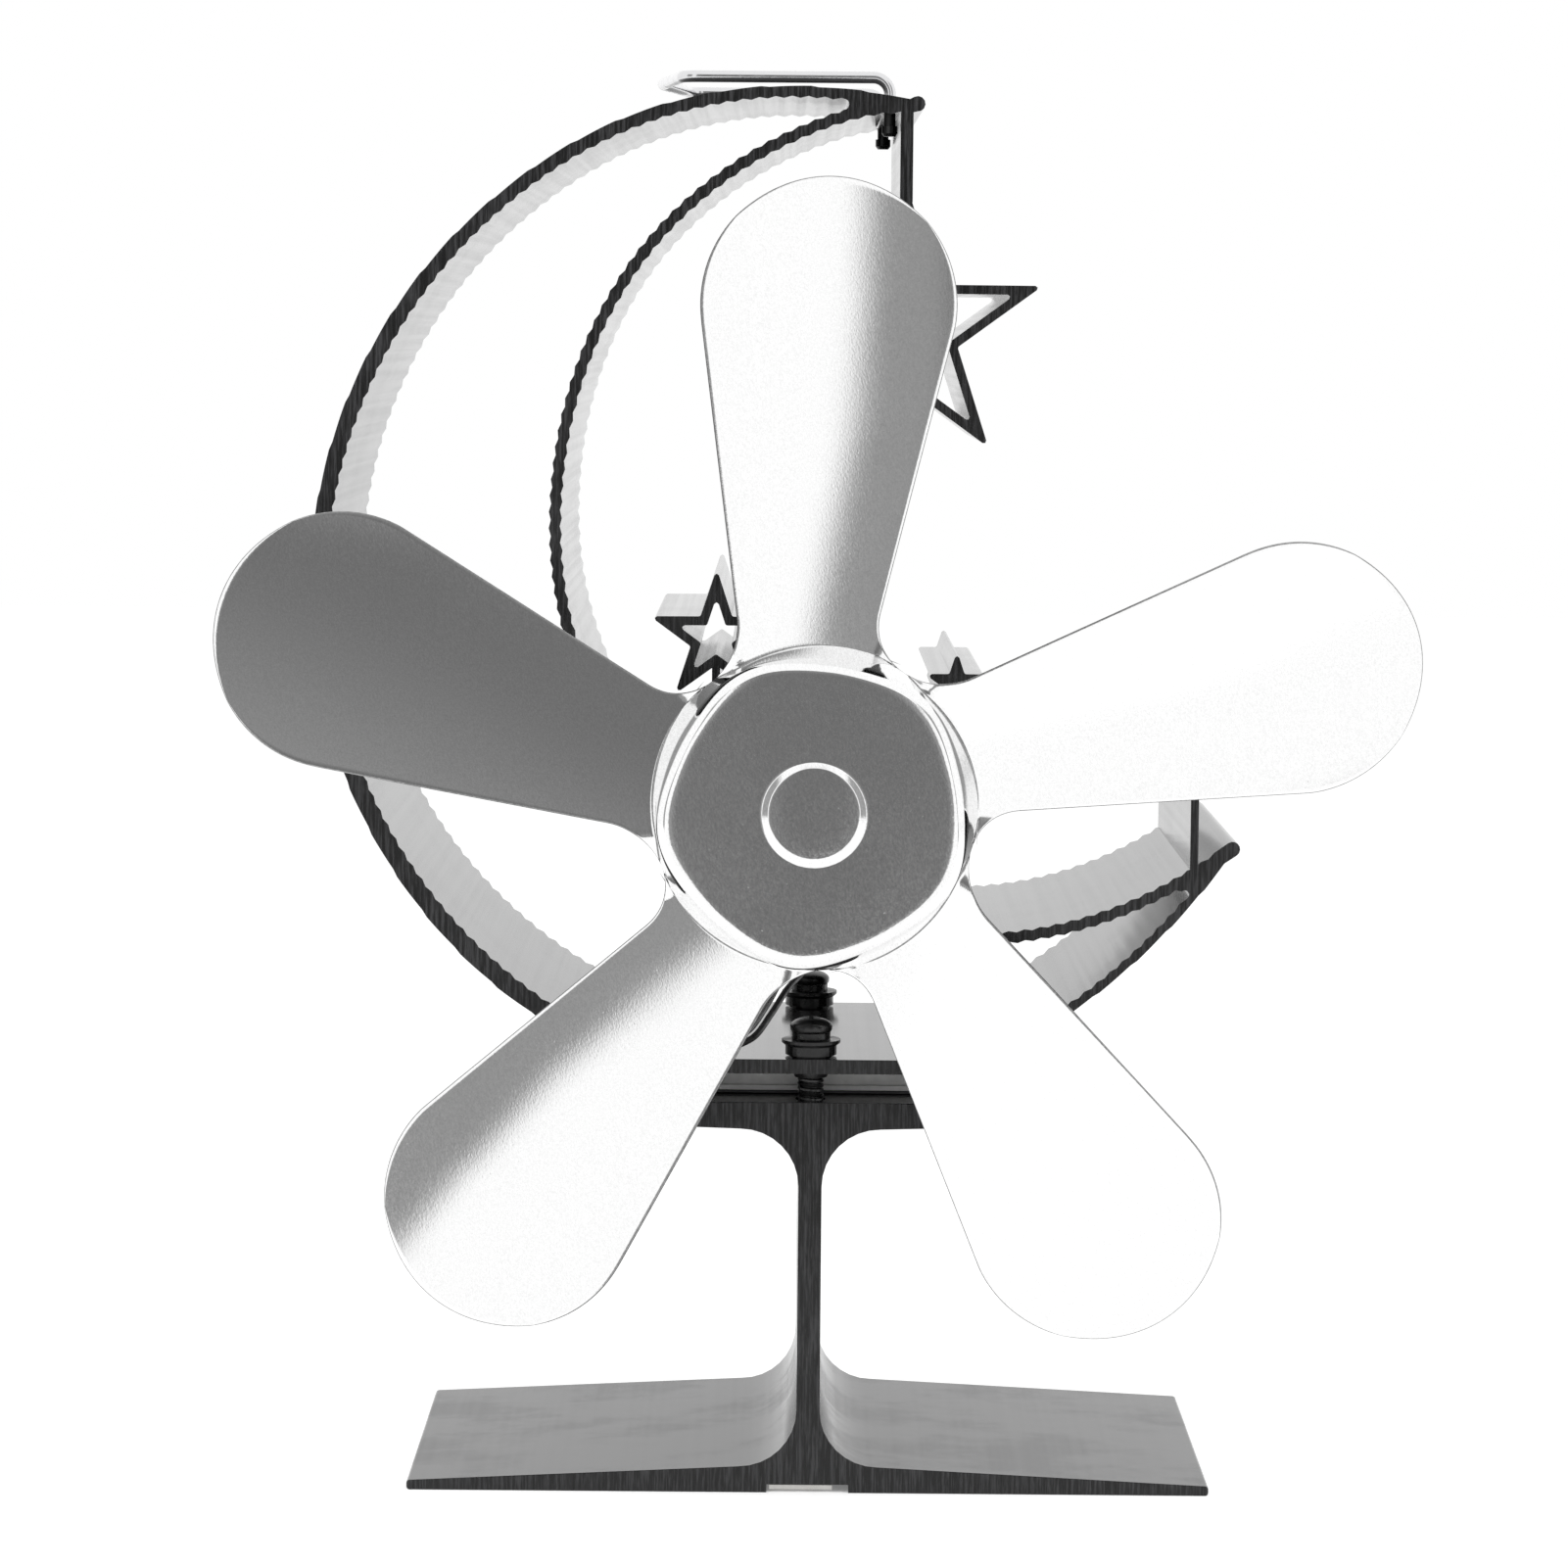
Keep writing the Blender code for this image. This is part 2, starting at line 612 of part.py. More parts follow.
def moon_cavity():
    """The hollow between the crescent's two walls, above its plate."""
    moon = (moon_x, moon_z)
    hollow = (arc_x, arc_z)
    outer = along(moon, moon_inner_edge, cavity_top_angle, cavity_low_angle, ripple_pitch / 2, ripple)
    low_end, top_end = outer[-1], outer[0]
    low_angle = degrees(atan2(low_end[1] + cavity_low_gap - arc_z, low_end[0] - arc_x)) % 360
    top_angle = degrees(atan2(top_end[1] - cavity_top_gap - arc_z, top_end[0] - arc_x))
    inner = along(hollow, arc_outer_edge, low_angle, top_angle, ripple_pitch / 2, ripple)
    return above(outer, plate_top) + round_end(low_end, inner[0]) + inner + round_end(inner[-1], top_end)


def round_end(start, end, steps=5):
    """The points of a half circle from one point to another, without the two ends."""
    start, end = Vector(start), Vector(end)
    middle = (start + end) / 2
    first = atan2(start.y - middle.y, start.x - middle.x)
    return [polar(middle, (end - start).length / 2, first + pi * k / steps) for k in range(1, steps)]


def inner_wall_z(x):
    """The height of the inner wall's middle at a place along the moon's floor."""
    angle = 270 + degrees(atan2(x - arc_x, arc_radius))
    return arc_z - sqrt((arc_edge(angle) + arc_wall / 2) ** 2 - (x - arc_x) ** 2)


def strip_shape(x, width, low, high):
    """A straight upright bar's outline."""
    return [(x - width / 2, low), (x + width / 2, low), (x + width / 2, high), (x - width / 2, high)]


def fins_and_stars():
    """The outlines that join the crescent: stars, their stalks, the top fin and the motor's seat."""
    top_x, top_z = nose_centre(moon_radius_shares[-1][0])
    top_fin_x = top_x - top_fin_back
    big_star = (top_fin_x, top_z - big_star_drop)
    left_star = (stalk_width / 2 - seat_outer_radius, axis_z + left_star_rise)
    small_star = (small_star_x, inner_wall_z(small_star_x) + small_star_rise)
    low_star = (low_star_x, inner_wall_z(low_star_x) + low_star_rise)
    fin_end = big_star[1] + big_star_radius - big_star_wall * 2
    stalk_end = left_star[1] - left_star_radius * star_notch_share * star_solid_share
    small_root = inner_wall_z(small_star_x)
    low_root = inner_wall_z(low_star_x)
    last_turn = 2 * pi * (1 - 1 / fine_sides)
    return [
        ("big_star_blank", [star(big_star, big_star_radius),
                            star_window(big_star, big_star_radius, big_star_wall)]),
        ("top_fin_blank", [strip_shape(top_fin_x, top_fin_width, fin_end, top_z)]),
        ("left_star_blank", [star(left_star, left_star_radius),
                             star_window(left_star, left_star_radius, left_star_wall)]),
        ("left_stalk_blank", [strip_shape(left_star[0], stalk_width, axis_z, stalk_end)]),
        ("small_star_blank", [star(small_star, small_star_radius)]),
        ("small_stalk_blank", [strip_shape(small_star_x, stalk_width, small_root, small_star[1])]),
        ("low_star_blank", [star(low_star, small_star_radius)]),
        ("low_stalk_blank", [strip_shape(low_star_x, stalk_width, low_root, low_star[1])]),
        ("motor_seat_blank", [arc((0, axis_z), seat_outer_radius, 0, last_turn,
                                  fine_sides - 1)]),
    ]


def build_moon_heat_sink():
    """The crescent with its plate, motor seat, fins and stars, one extrusion."""
    moon_top = moon_z + moon_edge(-270.0)
    handle_leg_x, handle_leg_end = handle_leg_place()
    seat_radius = motor_radius + seat_gap
    sink = extrusion("moon_heat_sink", [moon_outline(), moon_cavity()], sink_depth / 2 + saw_allowance,
                     material=black_anodised)
    for order, (name, loops) in enumerate(fins_and_stars(), start=2):
        blank = extrusion(name, loops, sink_depth / 2 + saw_allowance * order, collection=cutters)
        boolean(sink, as_cutter(blank), "UNION")
    bore = rod("motor_bore", (0, front_y * 2, axis_z), (0, -front_y * 2, axis_z), seat_radius, fine_sides)
    boolean(sink, as_cutter(bore), "DIFFERENCE")
    saw = box("saw_ends", (-moon_radius * 2, front_y, plate_bottom - moon_radius),
              (moon_radius * 2, -front_y, moon_top + moon_radius))
    boolean(sink, as_cutter(saw), "INTERSECT")
    for end in (-1, 1):
        screw_y = end * (sink_depth / 2 - screw_inset)
        hole = rod("bushing_hole", (0, screw_y, plate_bottom - cut_overrun),
                   (0, screw_y, plate_top + cut_overrun), bushing_spigot_radius + seat_gap, small_sides)
        boolean(sink, as_cutter(hole), "DIFFERENCE")
        leg_y = end * handle_leg_y
        hole = rod("handle_hole", (handle_leg_x, leg_y, handle_leg_end - cut_overrun),
                   (handle_leg_x, leg_y, moon_top + cut_overrun),
                   handle_wire / 2 + handle_hole_gap, small_sides)
        boolean(sink, as_cutter(hole), "DIFFERENCE")
    lock_y = motor_front_y() + motor_length / 2
    hole = rod("lock_screw_hole", (0, lock_y, axis_z + motor_radius),
               (0, lock_y, axis_z + seat_outer_radius + cut_overrun),
               lock_screw_radius + seat_gap, small_sides)
    boolean(sink, as_cutter(hole), "DIFFERENCE")
    return sink


def motor_front_y():
    """The motor can's front face."""
    return front_y + motor_setback


def build_module():
    """The thermoelectric module between its two pads."""
    half = module_width / 2
    layers = (("thermal_pad_lower", pad_thickness, half, graphite_pad),
              ("hot_ceramic", ceramic_thickness, half, white_ceramic),
              ("pellet_core", pellet_height, half - pellet_inset, grey_seal),
              ("cold_ceramic", ceramic_thickness, half, white_ceramic),
              ("thermal_pad_upper", pad_thickness, half, graphite_pad))
    low = platform_top + stack_gap
    for name, thickness, reach, material in layers:
        box(name, (-reach, -reach, low), (reach, reach, low + thickness), material)
        low += thickness + stack_gap


def build_clamp(end, side):
    """A clamping screw, its spring washer and its insulating bushing."""
    y = side * (sink_depth / 2 - screw_inset)
    bushing_bottom = plate_top + seat_gap
    bushing_top = bushing_bottom + bushing_height
    bore = screw_radius + run_gap
    spigot_end = plate_bottom - bushing_tip_length
    turned("bushing_" + end, [
        (bore, bushing_top), (bushing_flange_radius, bushing_top),
        (bushing_flange_radius, bushing_top - bushing_flange_thickness),
        (bushing_radius, bushing_top - 2 * bushing_flange_thickness), (bushing_radius, bushing_bottom),
        (bushing_spigot_radius, bushing_bottom), (bushing_spigot_radius, plate_bottom),
        (bushing_tip_radius, spigot_end), (bore, spigot_end)],
        (0, y, 0), (0, 0, 1), round_sides, black_resin)
    washer_bottom = bushing_top + stack_gap
    washer_top = washer_bottom + spring_washer_height
    washer = turned("spring_washer_" + end, [
        (bore, washer_top), (spring_washer_radius, washer_top), (spring_washer_radius, washer_bottom),
        (bore, washer_bottom)], (0, y, 0), (0, 0, 1), round_sides, black_steel)
    split = box("washer_split", (0, y - spring_washer_slot / 2, washer_bottom - cut_overrun),
                (bushing_flange_radius, y + spring_washer_slot / 2, washer_top + cut_overrun))
    boolean(washer, as_cutter(split), "DIFFERENCE")
    head_bottom = washer_top + stack_gap
    head_top = head_bottom + screw_head_height
    profile = [(0.0, head_top)]
    rim_height = screw_head_height - screw_head_dome
    for k in range(1, 6):
        angle = pi / 2 * k / 5
        profile.append((screw_head_radius * sin(angle),
                        head_bottom + rim_height + screw_head_dome * cos(angle)))
    profile += [(screw_head_foot_radius, head_bottom), (screw_radius, head_bottom),
                (screw_radius, plate_bottom)]
    ridge_top = plate_bottom
    tip = platform_top - screw_bite
    ridges = int((ridge_top - tip) / screw_pitch)
    for i in range(ridges):
        crest = ridge_top - screw_pitch * (i + 1)
        profile += [(screw_root_radius, crest + screw_pitch / 2), (screw_radius, crest)]
    profile += [(screw_tip_radius, tip), (0.0, tip)]
    screw = turned("clamp_screw_" + end, profile, (0, y, 0), (0, 0, 1), ridge_sides, black_steel)
    for across in (0, 1):
        length = screw_recess_length if across else screw_recess_width
        width = screw_recess_width if across else screw_recess_length
        slot = box("screw_recess", (-length / 2, y - width / 2, head_top - screw_recess_depth),
                   (length / 2, y + width / 2, head_top + cut_overrun))
        boolean(screw, as_cutter(slot), "DIFFERENCE")


def build_motor():
    """The motor, from its can to its terminals, on the fan's axis."""
    axis = (0, 1, 0)
    centre = (0, 0, axis_z)
    front = motor_front_y()
    back = front + motor_length
    bore_radius = motor_radius - can_wall
    turned("motor_can", [
        (bearing_radius + seat_gap, -front), (motor_radius, -front), (motor_radius, -back),
        (bore_radius, -back), (bore_radius, -front - can_lip_height),
        (bearing_radius + seat_gap, -front - can_lip_height)],
        centre, (0, -1, 0), fine_sides, zinc_steel)
    for name, low in (("bearing_front", front - bearing_proud),
                      ("bearing_rear", back - end_cap_thickness - seat_gap)):
        turned(name, [
            (shaft_radius + run_gap, -low), (bearing_radius, -low), (bearing_radius, -low - bearing_length),
            (shaft_radius + run_gap, -low - bearing_length)],
            centre, (0, -1, 0), small_sides, brass)
    magnet_outer = bore_radius - seat_gap
    magnet_inner = magnet_outer - magnet_thickness
    magnet_front = front + can_lip_height + seat_gap
    magnet_length = motor_length - can_lip_height - end_cap_thickness - 2 * seat_gap
    half_span = pi * magnet_span_share
    for name, middle in (("magnet_left", pi), ("magnet_right", 0.0)):
        loop = arc((0, axis_z), magnet_outer, middle - half_span, middle + half_span, 12)
        loop += arc((0, axis_z), magnet_inner, middle + half_span, middle - half_span, 12)
        extrusion(name, [loop], magnet_length / 2, magnet_front + magnet_length / 2, magnet_grey)
    armature_front = front - bearing_proud + bearing_length + seat_gap
    armature = turned("armature", [
        (shaft_radius + run_gap, -armature_front), (armature_radius, -armature_front),
        (armature_radius, -armature_front - armature_length),
        (shaft_radius + run_gap, -armature_front - armature_length)],
        centre, (0, -1, 0), fine_sides, copper_winding)
    slot_middle = armature_radius + (cut_overrun - armature_slot_depth) / 2
    for pole in range(3):
        angle = pi / 2 + pole * 2 * pi / 3
        slot = box("armature_slot",
                   (armature_radius - armature_slot_depth, -armature_slot / 2, -armature_length),
                   (armature_radius + cut_overrun, armature_slot / 2, armature_length))
        slot.matrix_world = (Matrix.Translation((0, armature_front + armature_length / 2, axis_z))
                             @ Matrix.Rotation(-angle, 4, "Y") @ Matrix.Rotation(pi / 2, 4, "X")
                             @ Matrix.Translation((slot_middle, 0, 0)))
        boolean(armature, as_cutter(slot), "DIFFERENCE")
    commutator_front = armature_front + armature_length + seat_gap
    turned("commutator", [
        (shaft_radius + run_gap, -commutator_front), (commutator_radius, -commutator_front),
        (commutator_radius, -commutator_front - commutator_length),
        (shaft_radius + run_gap, -commutator_front - commutator_length)],
        centre, (0, -1, 0), small_sides, brass)
    shaft_back = back - end_cap_thickness + bearing_length
    rod("motor_shaft", (0, boss_front_y() + shaft_front_inset, axis_z), (0, shaft_back, axis_z), shaft_radius,
        small_sides, bright_steel)
    cap_front = back - end_cap_thickness
    cap = turned("motor_end_cap", [
        (bearing_radius + seat_gap, -cap_front), (bore_radius - seat_gap, -cap_front),
        (bore_radius - seat_gap, -back), (bearing_radius + seat_gap, -back)],
        centre, (0, -1, 0), fine_sides, black_resin)
    for name, side in (("terminal_left", -1), ("terminal_right", 1)):
        x = side * terminal_offset
        low = (x - terminal_thickness / 2, cap_front - brush_reach, axis_z - terminal_width / 2)
        high = (x + terminal_thickness / 2, back + terminal_tail, axis_z + terminal_width / 2)
        box(name, low, high, brass)
        slot = box("terminal_slot", [value - terminal_slot_gap for value in low],
                   [value + terminal_slot_gap for value in high])
        boolean(cap, as_cutter(slot), "DIFFERENCE")
    lock_y = front + motor_length / 2
    lock_bottom = axis_z + motor_radius + seat_gap
    lock_top = lock_bottom + lock_screw_length
    lock = rod("motor_lock_screw", (0, lock_y, lock_bottom), (0, lock_y, lock_top),
               lock_screw_radius, small_sides, black_steel)
    socket = rod("lock_socket", (0, lock_y, lock_top - lock_screw_socket_depth),
                 (0, lock_y, lock_top + cut_overrun), lock_screw_socket, 6)
    boolean(lock, as_cutter(socket), "DIFFERENCE")


def boss_front_y():
    """The front face of the boss inside the hub."""
    return hub_face_y + sheet_thickness + seat_gap


def blade_edge_slope():
    """The slope of a blade's straight edge, from its root width to a touch on its round tip."""
    reach = blade_tip_centre - blade_root_radius
    a = reach ** 2 - blade_tip_radius ** 2
    b = blade_root_half * reach
    c = blade_root_half ** 2 - blade_tip_radius ** 2
    return (sqrt(b ** 2 - a * c) - b) / a


def blade_rows():
    """Rows across a blade from the hub's rim to its tip: each the end's place along and across the
    blade, and the middle's place along it."""
    half_share = pi / blade_count
    slope = blade_edge_slope()
    length = sqrt(1 + slope ** 2)
    foot = blade_root_half - slope * blade_root_radius
    bend_distance = (hub_rim_radius * length - foot) / (length - sin(half_share) + slope * cos(half_share))
    bend = bend_distance - hub_rim_radius
    bend_centre = (bend_distance * cos(half_share), bend_distance * sin(half_share))
    start = half_share + pi
    end = -pi / 2 + atan2(slope, 1)
    rows = []
    for k in range(4):
        angle = start + (end + 2 * pi - start) * k / 3
        a, s = polar(bend_centre, bend, angle)
        rows.append((a, s, hub_rim_radius + (a - hub_rim_radius * cos(half_share)) * row_spread_share))
    first_a = rows[-1][0]
    first_middle = rows[-1][2]
    tip_angle = pi / 2 + atan2(slope, 1)
    edge_a = blade_tip_centre + blade_tip_radius * cos(tip_angle)
    edge_middle = edge_a + blade_tip_radius * row_bulge_share
    for k in range(1, 5):
        share = k / 4
        a = first_a + (edge_a - first_a) * share
        rows.append((a, foot + slope * a, first_middle + (edge_middle - first_middle) * share))
    last_angle = radians(48)
    tip = blade_tip_centre + blade_tip_radius
    for k in range(1, 6):
        share = k / 5
        angle = tip_angle + (last_angle - tip_angle) * share
        a, s = polar((blade_tip_centre, 0.0), blade_tip_radius, angle)
        rows.append((a, s, edge_middle + (tip - edge_middle) * share))
    return rows


def blade_surface(a, s):
    """The blade's depth at a place along and across it, pitched and hollow."""
    half_share = pi / blade_count
    off_bisector = half_share - abs(atan2(s, a))
    blend = min(max(off_bisector / (half_share * blade_twist_share), 0.0), 1.0)
    blend = blend * blend * (3 - 2 * blend)
    return blade_plane_y + blend * (blade_pitch_share * s - s * s / (2 * blade_camber_radius))


def lean_angle(radius):
    """How far round a place on the rotor is turned, so that each blade leans off its radius."""
    radius = min(max(radius, hub_rim_radius), blade_tip_centre)
    return blade_lean * (blade_tip_centre - radius) / (blade_tip_centre - hub_rim_radius) / radius


def build_fan_rotor():
    """The pressed rotor: a raised hub and five blades in one sheet."""
    half_share = pi / blade_count
    raised = hub_face_y - hub_disc_height
    disc_outer = hub_disc_radius + hub_disc_slope
    hub_rings = ((hub_disc_radius / 2, 0.0, raised), (hub_disc_radius, 0.0, raised),
                 (disc_outer, 0.0, hub_face_y),
                 ((disc_outer + hub_face_radius) / 2, 0.0, hub_face_y),
                 (hub_face_radius, hub_corner_rise, hub_face_y),
                 (hub_face_radius + hub_bevel_width * sin(pi / 4),
                  (hub_corner_rise + hub_wall_corner_rise) / 2,
                  hub_face_y + hub_bevel_depth * (1 - cos(pi / 4))),
                 (hub_face_radius + hub_bevel_width, hub_wall_corner_rise, hub_face_y + hub_bevel_depth))
    sheet = bmesh.new()
    columns = hub_columns * blade_count
    hub_point = sheet.verts.new((0, raised, 0))
    grid = []
    for middle_radius, corner_rise, y in hub_rings:
        ring = []
        for i in range(columns):
            angle = (i / hub_columns - 0.5) * 2 * half_share - lean_angle(middle_radius)
            off_middle = abs(2 * ((i / hub_columns - hub_corner_shift_share) % 1) - 1)
            radius = middle_radius + corner_rise * off_middle ** 2
            ring.append(sheet.verts.new((radius * sin(angle), y, radius * cos(angle))))
        grid.append(ring)
    rows = blade_rows()
    rim = [None] * columns
    blades = []
    for blade in range(blade_count):
        turn = blade * 2 * half_share
        blade_grid = []
        for order, (end_a, end_s, middle_a) in enumerate(rows):
            line = []
            for column in range(hub_columns + 1):
                place = (blade * hub_columns + column) % columns
                if order == 0 and rim[place]:
                    line.append(rim[place])
                    continue
                swing = (2 * column / hub_columns - 1) * half_share
                s = end_s * sin(swing) / sin(half_share)
                a = end_a + (middle_a - end_a) * (cos(swing) - cos(half_share)) / (1 - cos(half_share))
                y = blade_surface(a, s)
                reach = sqrt(a * a + s * s)
                way = turn + atan2(s, a) - lean_angle(reach)
                if order == 0:
                    reach += (y - blade_plane_y) * hub_wall_draft_share
                vert = sheet.verts.new((reach * sin(way), y, reach * cos(way)))
                line.append(vert)
                if order == 0:
                    rim[place] = vert
            blade_grid.append(line)
        blades.append(blade_grid)
    for i in range(columns):
        j = (i + 1) % columns
        sheet.faces.new((hub_point, grid[0][i], grid[0][j]))
        for inner, outer in zip(grid, grid[1:]):
            sheet.faces.new((inner[i], outer[i], outer[j], inner[j]))
        sheet.faces.new((grid[-1][i], rim[i], rim[j], grid[-1][j]))
    for blade_grid in blades:
        for near, far in zip(blade_grid, blade_grid[1:]):
            for k in range(hub_columns):
                sheet.faces.new((near[k], far[k], far[k + 1], near[k + 1]))
    bmesh.ops.recalc_face_normals(sheet, faces=sheet.faces)
    mesh = bpy.data.meshes.new("fan_rotor")
    sheet.to_mesh(mesh)
    sheet.free()
    rotor = link_mesh("fan_rotor", mesh, parts, brushed_aluminium)
    if mesh.polygons[0].normal.y > 0:
        mesh.flip_normals()
    shell = rotor.modifiers.new("sheet", "SOLIDIFY")
    shell.thickness = sheet_thickness
    shell.offset = -1.0
    rotor.location = (0, 0, axis_z)
    rotor.rotation_euler = (0, blade_turn, 0)
    smooth(rotor, radians(30))


def build_boss():
    """The boss behind the hub, on the end of the shaft."""
    boss_front = boss_front_y()
    flange_back = boss_front + boss_flange_thickness
    boss_back = boss_front + boss_length
    bore = shaft_radius + run_gap
    bore_front = boss_front + shaft_front_inset - seat_gap
    turned("hub_boss", [
        (0.0, -boss_front), (boss_flange_radius, -boss_front), (boss_flange_radius, -flange_back),
        (boss_radius, -flange_back), (boss_radius, -boss_back), (bore, -boss_back),
        (bore, -bore_front), (0.0, -bore_front)], (0, 0, axis_z), (0, -1, 0), round_sides, bright_steel)


def wire(name, points, radius, resolution, material):
    """A round wire along a list of points."""
    curve = bpy.data.curves.new(name, "CURVE")
    curve.dimensions = "3D"
    curve.bevel_depth = radius
    curve.bevel_resolution = resolution
    curve.use_fill_caps = True
    spline = curve.splines.new("POLY")
    spline.points.add(len(points) - 1)
    for point, place in zip(spline.points, points):
        point.co = (*place, 1.0)
    thing = bpy.data.objects.new(name, curve)
    parts.objects.link(thing)
    bpy.context.view_layer.update()
    return smooth(baked(thing, material))


def bend_points(before, corner, after, radius, steps):
    """Points round a bend in a wire, where two straight runs meet at a corner."""
    before, corner, after = Vector(before), Vector(corner), Vector(after)
    back = (before - corner).normalized()
    ahead = (after - corner).normalized()
    half = back.angle(ahead) / 2
    reach = radius / tan(half)
    middle = corner + (back + ahead).normalized() * (radius / sin(half))
    first = corner + back * reach - middle
    turn_axis = first.cross(corner + ahead * reach - middle).normalized()
    turn = pi - 2 * half
    return [middle + Matrix.Rotation(turn * k / steps, 3, turn_axis) @ first for k in range(steps + 1)]


def bent_wire(corners, radius, steps):
    """A wire's points: straight runs between corners, each corner rounded."""
    points = [Vector(corners[0])]
    for before, corner, after in zip(corners, corners[1:], corners[2:]):
        points += bend_points(before, corner, after, radius, steps)
    return points + [Vector(corners[-1])]


def handle_leg_place():
    """Where the handle's legs stand, and the height of their ends."""
    top_x, top_z = nose_centre(moon_radius_shares[-1][0])
    return top_x - handle_leg_back, top_z - handle_leg_drop


def build_handle():
    """The wire handle, whose two legs drop through the moon's top nose, and its end caps."""
    handle_leg_x, handle_leg_end = handle_leg_place()
    top = moon_z + moon_edge(-270.0) + handle_above_moon + handle_wire / 2
    corner_x = handle_leg_x - handle_reach
    bow_x = corner_x - handle_bow
    corners = [(handle_leg_x, -handle_leg_y, handle_leg_end), (handle_leg_x, -handle_leg_y, top),
               (corner_x, -handle_leg_y, top), (bow_x, 0, top), (corner_x, handle_leg_y, top),
               (handle_leg_x, handle_leg_y, top), (handle_leg_x, handle_leg_y, handle_leg_end)]
    wire("handle_wire", bent_wire(corners, handle_bend, 6), handle_wire / 2, 2, bright_steel)
    cap_bottom = handle_leg_end - handle_cap_bottom - seat_gap
    cap_top = cap_bottom + handle_cap_height
    bore = handle_wire / 2 + seat_gap / 3
    for name, side in (("handle_cap_front", -1), ("handle_cap_rear", 1)):
        turned(name, [
            (0.0, handle_leg_end - seat_gap), (bore, handle_leg_end - seat_gap), (bore, cap_top),
            (handle_cap_radius, cap_top), (handle_cap_radius, cap_bottom + handle_cap_bottom),
            (handle_cap_end_radius, cap_bottom), (0.0, cap_bottom)],
            (handle_leg_x, side * handle_leg_y, 0), (0, 0, 1), small_sides, black_resin)


def build_strip():
    """The overheat strip in the groove of the sole, and its rivet."""
    roof = sole_groove_height
    top = roof - seat_gap / 2
    bottom = top - strip_thickness
    front = front_y + strip_front_inset
    back = front + strip_length
    rivet_y = back - strip_hinge_inset
    hinge = bpy.data.objects.new("strip_hinge", None)
    parts.objects.link(hinge)
    hinge.location = (0, rivet_y, top)
    strip = box("bimetal_strip", (strip_off_centre - strip_width / 2, front, bottom),
                (strip_off_centre + strip_width / 2, back, top), bimetal)
    bpy.context.view_layer.update()
    strip.parent = hinge
    strip.matrix_parent_inverse = hinge.matrix_world.inverted()
    hole = rod("rivet_hole", (strip_off_centre, rivet_y, -cut_overrun), (strip_off_centre, rivet_y, roof),
               rivet_radius + seat_gap, small_sides)
    boolean(strip, as_cutter(hole), "DIFFERENCE")
    head_top = bottom - seat_gap / 2
    turned("strip_rivet", [
        (0.0, roof + rivet_length - seat_gap), (rivet_radius, roof + rivet_length - seat_gap),
        (rivet_radius, head_top), (rivet_head_radius, head_top),
        (rivet_head_radius, head_top - rivet_head_height), (0.0, head_top - rivet_head_height)],
        (strip_off_centre, rivet_y, 0), (0, 0, 1), small_sides, bright_steel)


def curve_through(places, steps):
    """Points on a smooth curve through a list of places."""
    places = [Vector(place) for place in places]
    points = []
    for i in range(len(places) - 1):
        low, high = places[i], places[i + 1]
        slope_low = (high - places[max(i - 1, 0)]) / 2
        slope_high = (places[min(i + 2, len(places) - 1)] - low) / 2
        for k in range(steps):
            t = k / steps
            points.append(low * (2 * t ** 3 - 3 * t ** 2 + 1) + high * (3 * t ** 2 - 2 * t ** 3)
                          + slope_low * (t ** 3 - 2 * t ** 2 + t) + slope_high * (t ** 3 - t ** 2))
    return points + [places[-1]]


def build_leads():
    """The module's two leads, from its front edge to the motor's terminals."""
    core_front = -module_width / 2 + pellet_inset - seat_gap
    core_z = platform_top + 3 * stack_gap + pad_thickness + ceramic_thickness + pellet_height / 2
    terminal_back = motor_front_y() + motor_length + terminal_tail
    for name, side, route, material in (("lead_left", -1, lead_left_route, grey_insulation),
                                        ("lead_right", 1, lead_right_route, black_insulation)):
        places = [Vector(place) * MM for place in route]
        places.insert(0, Vector((places[0].x, core_front, core_z)))
        places.append(Vector((side * terminal_offset, terminal_back + seat_gap, axis_z)))
        wire(name, curve_through(places, lead_steps), lead_radius, 2, material)


def centre_frame():
    """Moves the whole fan along Y, to centre its depth on the origin."""
    fan_front = hub_face_y - hub_disc_height
    fan_back = -front_y + lead_clearance + 2 * lead_radius
    for thing in list(parts.objects) + list(cutters.objects):
        if not thing.parent:
            thing.location.y -= (fan_front + fan_back) / 2


build_base_foot()
build_moon_heat_sink()
build_module()
build_clamp("front", -1)
build_clamp("rear", 1)
build_motor()
build_fan_rotor()
build_boss()
build_handle()
build_strip()
build_leads()
centre_frame()
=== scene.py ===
"""The looks of a heat-powered stove fan, built round its packed model.

The black heat sink and foot get rounded saw edges and an anodised finish, the pressed rotor is
made finer as one sheet of brushed metal, and the screws, handle, leads and module get their own
detail. The stage is a pale floor under soft light, with the camera at the front.
"""

import json
from math import atan2, cos, pi, radians, sin, sqrt, tan

import bmesh
import bpy
from bpy.props import FloatProperty, FloatVectorProperty, IntProperty, PointerProperty
from mathutils import Matrix, Vector

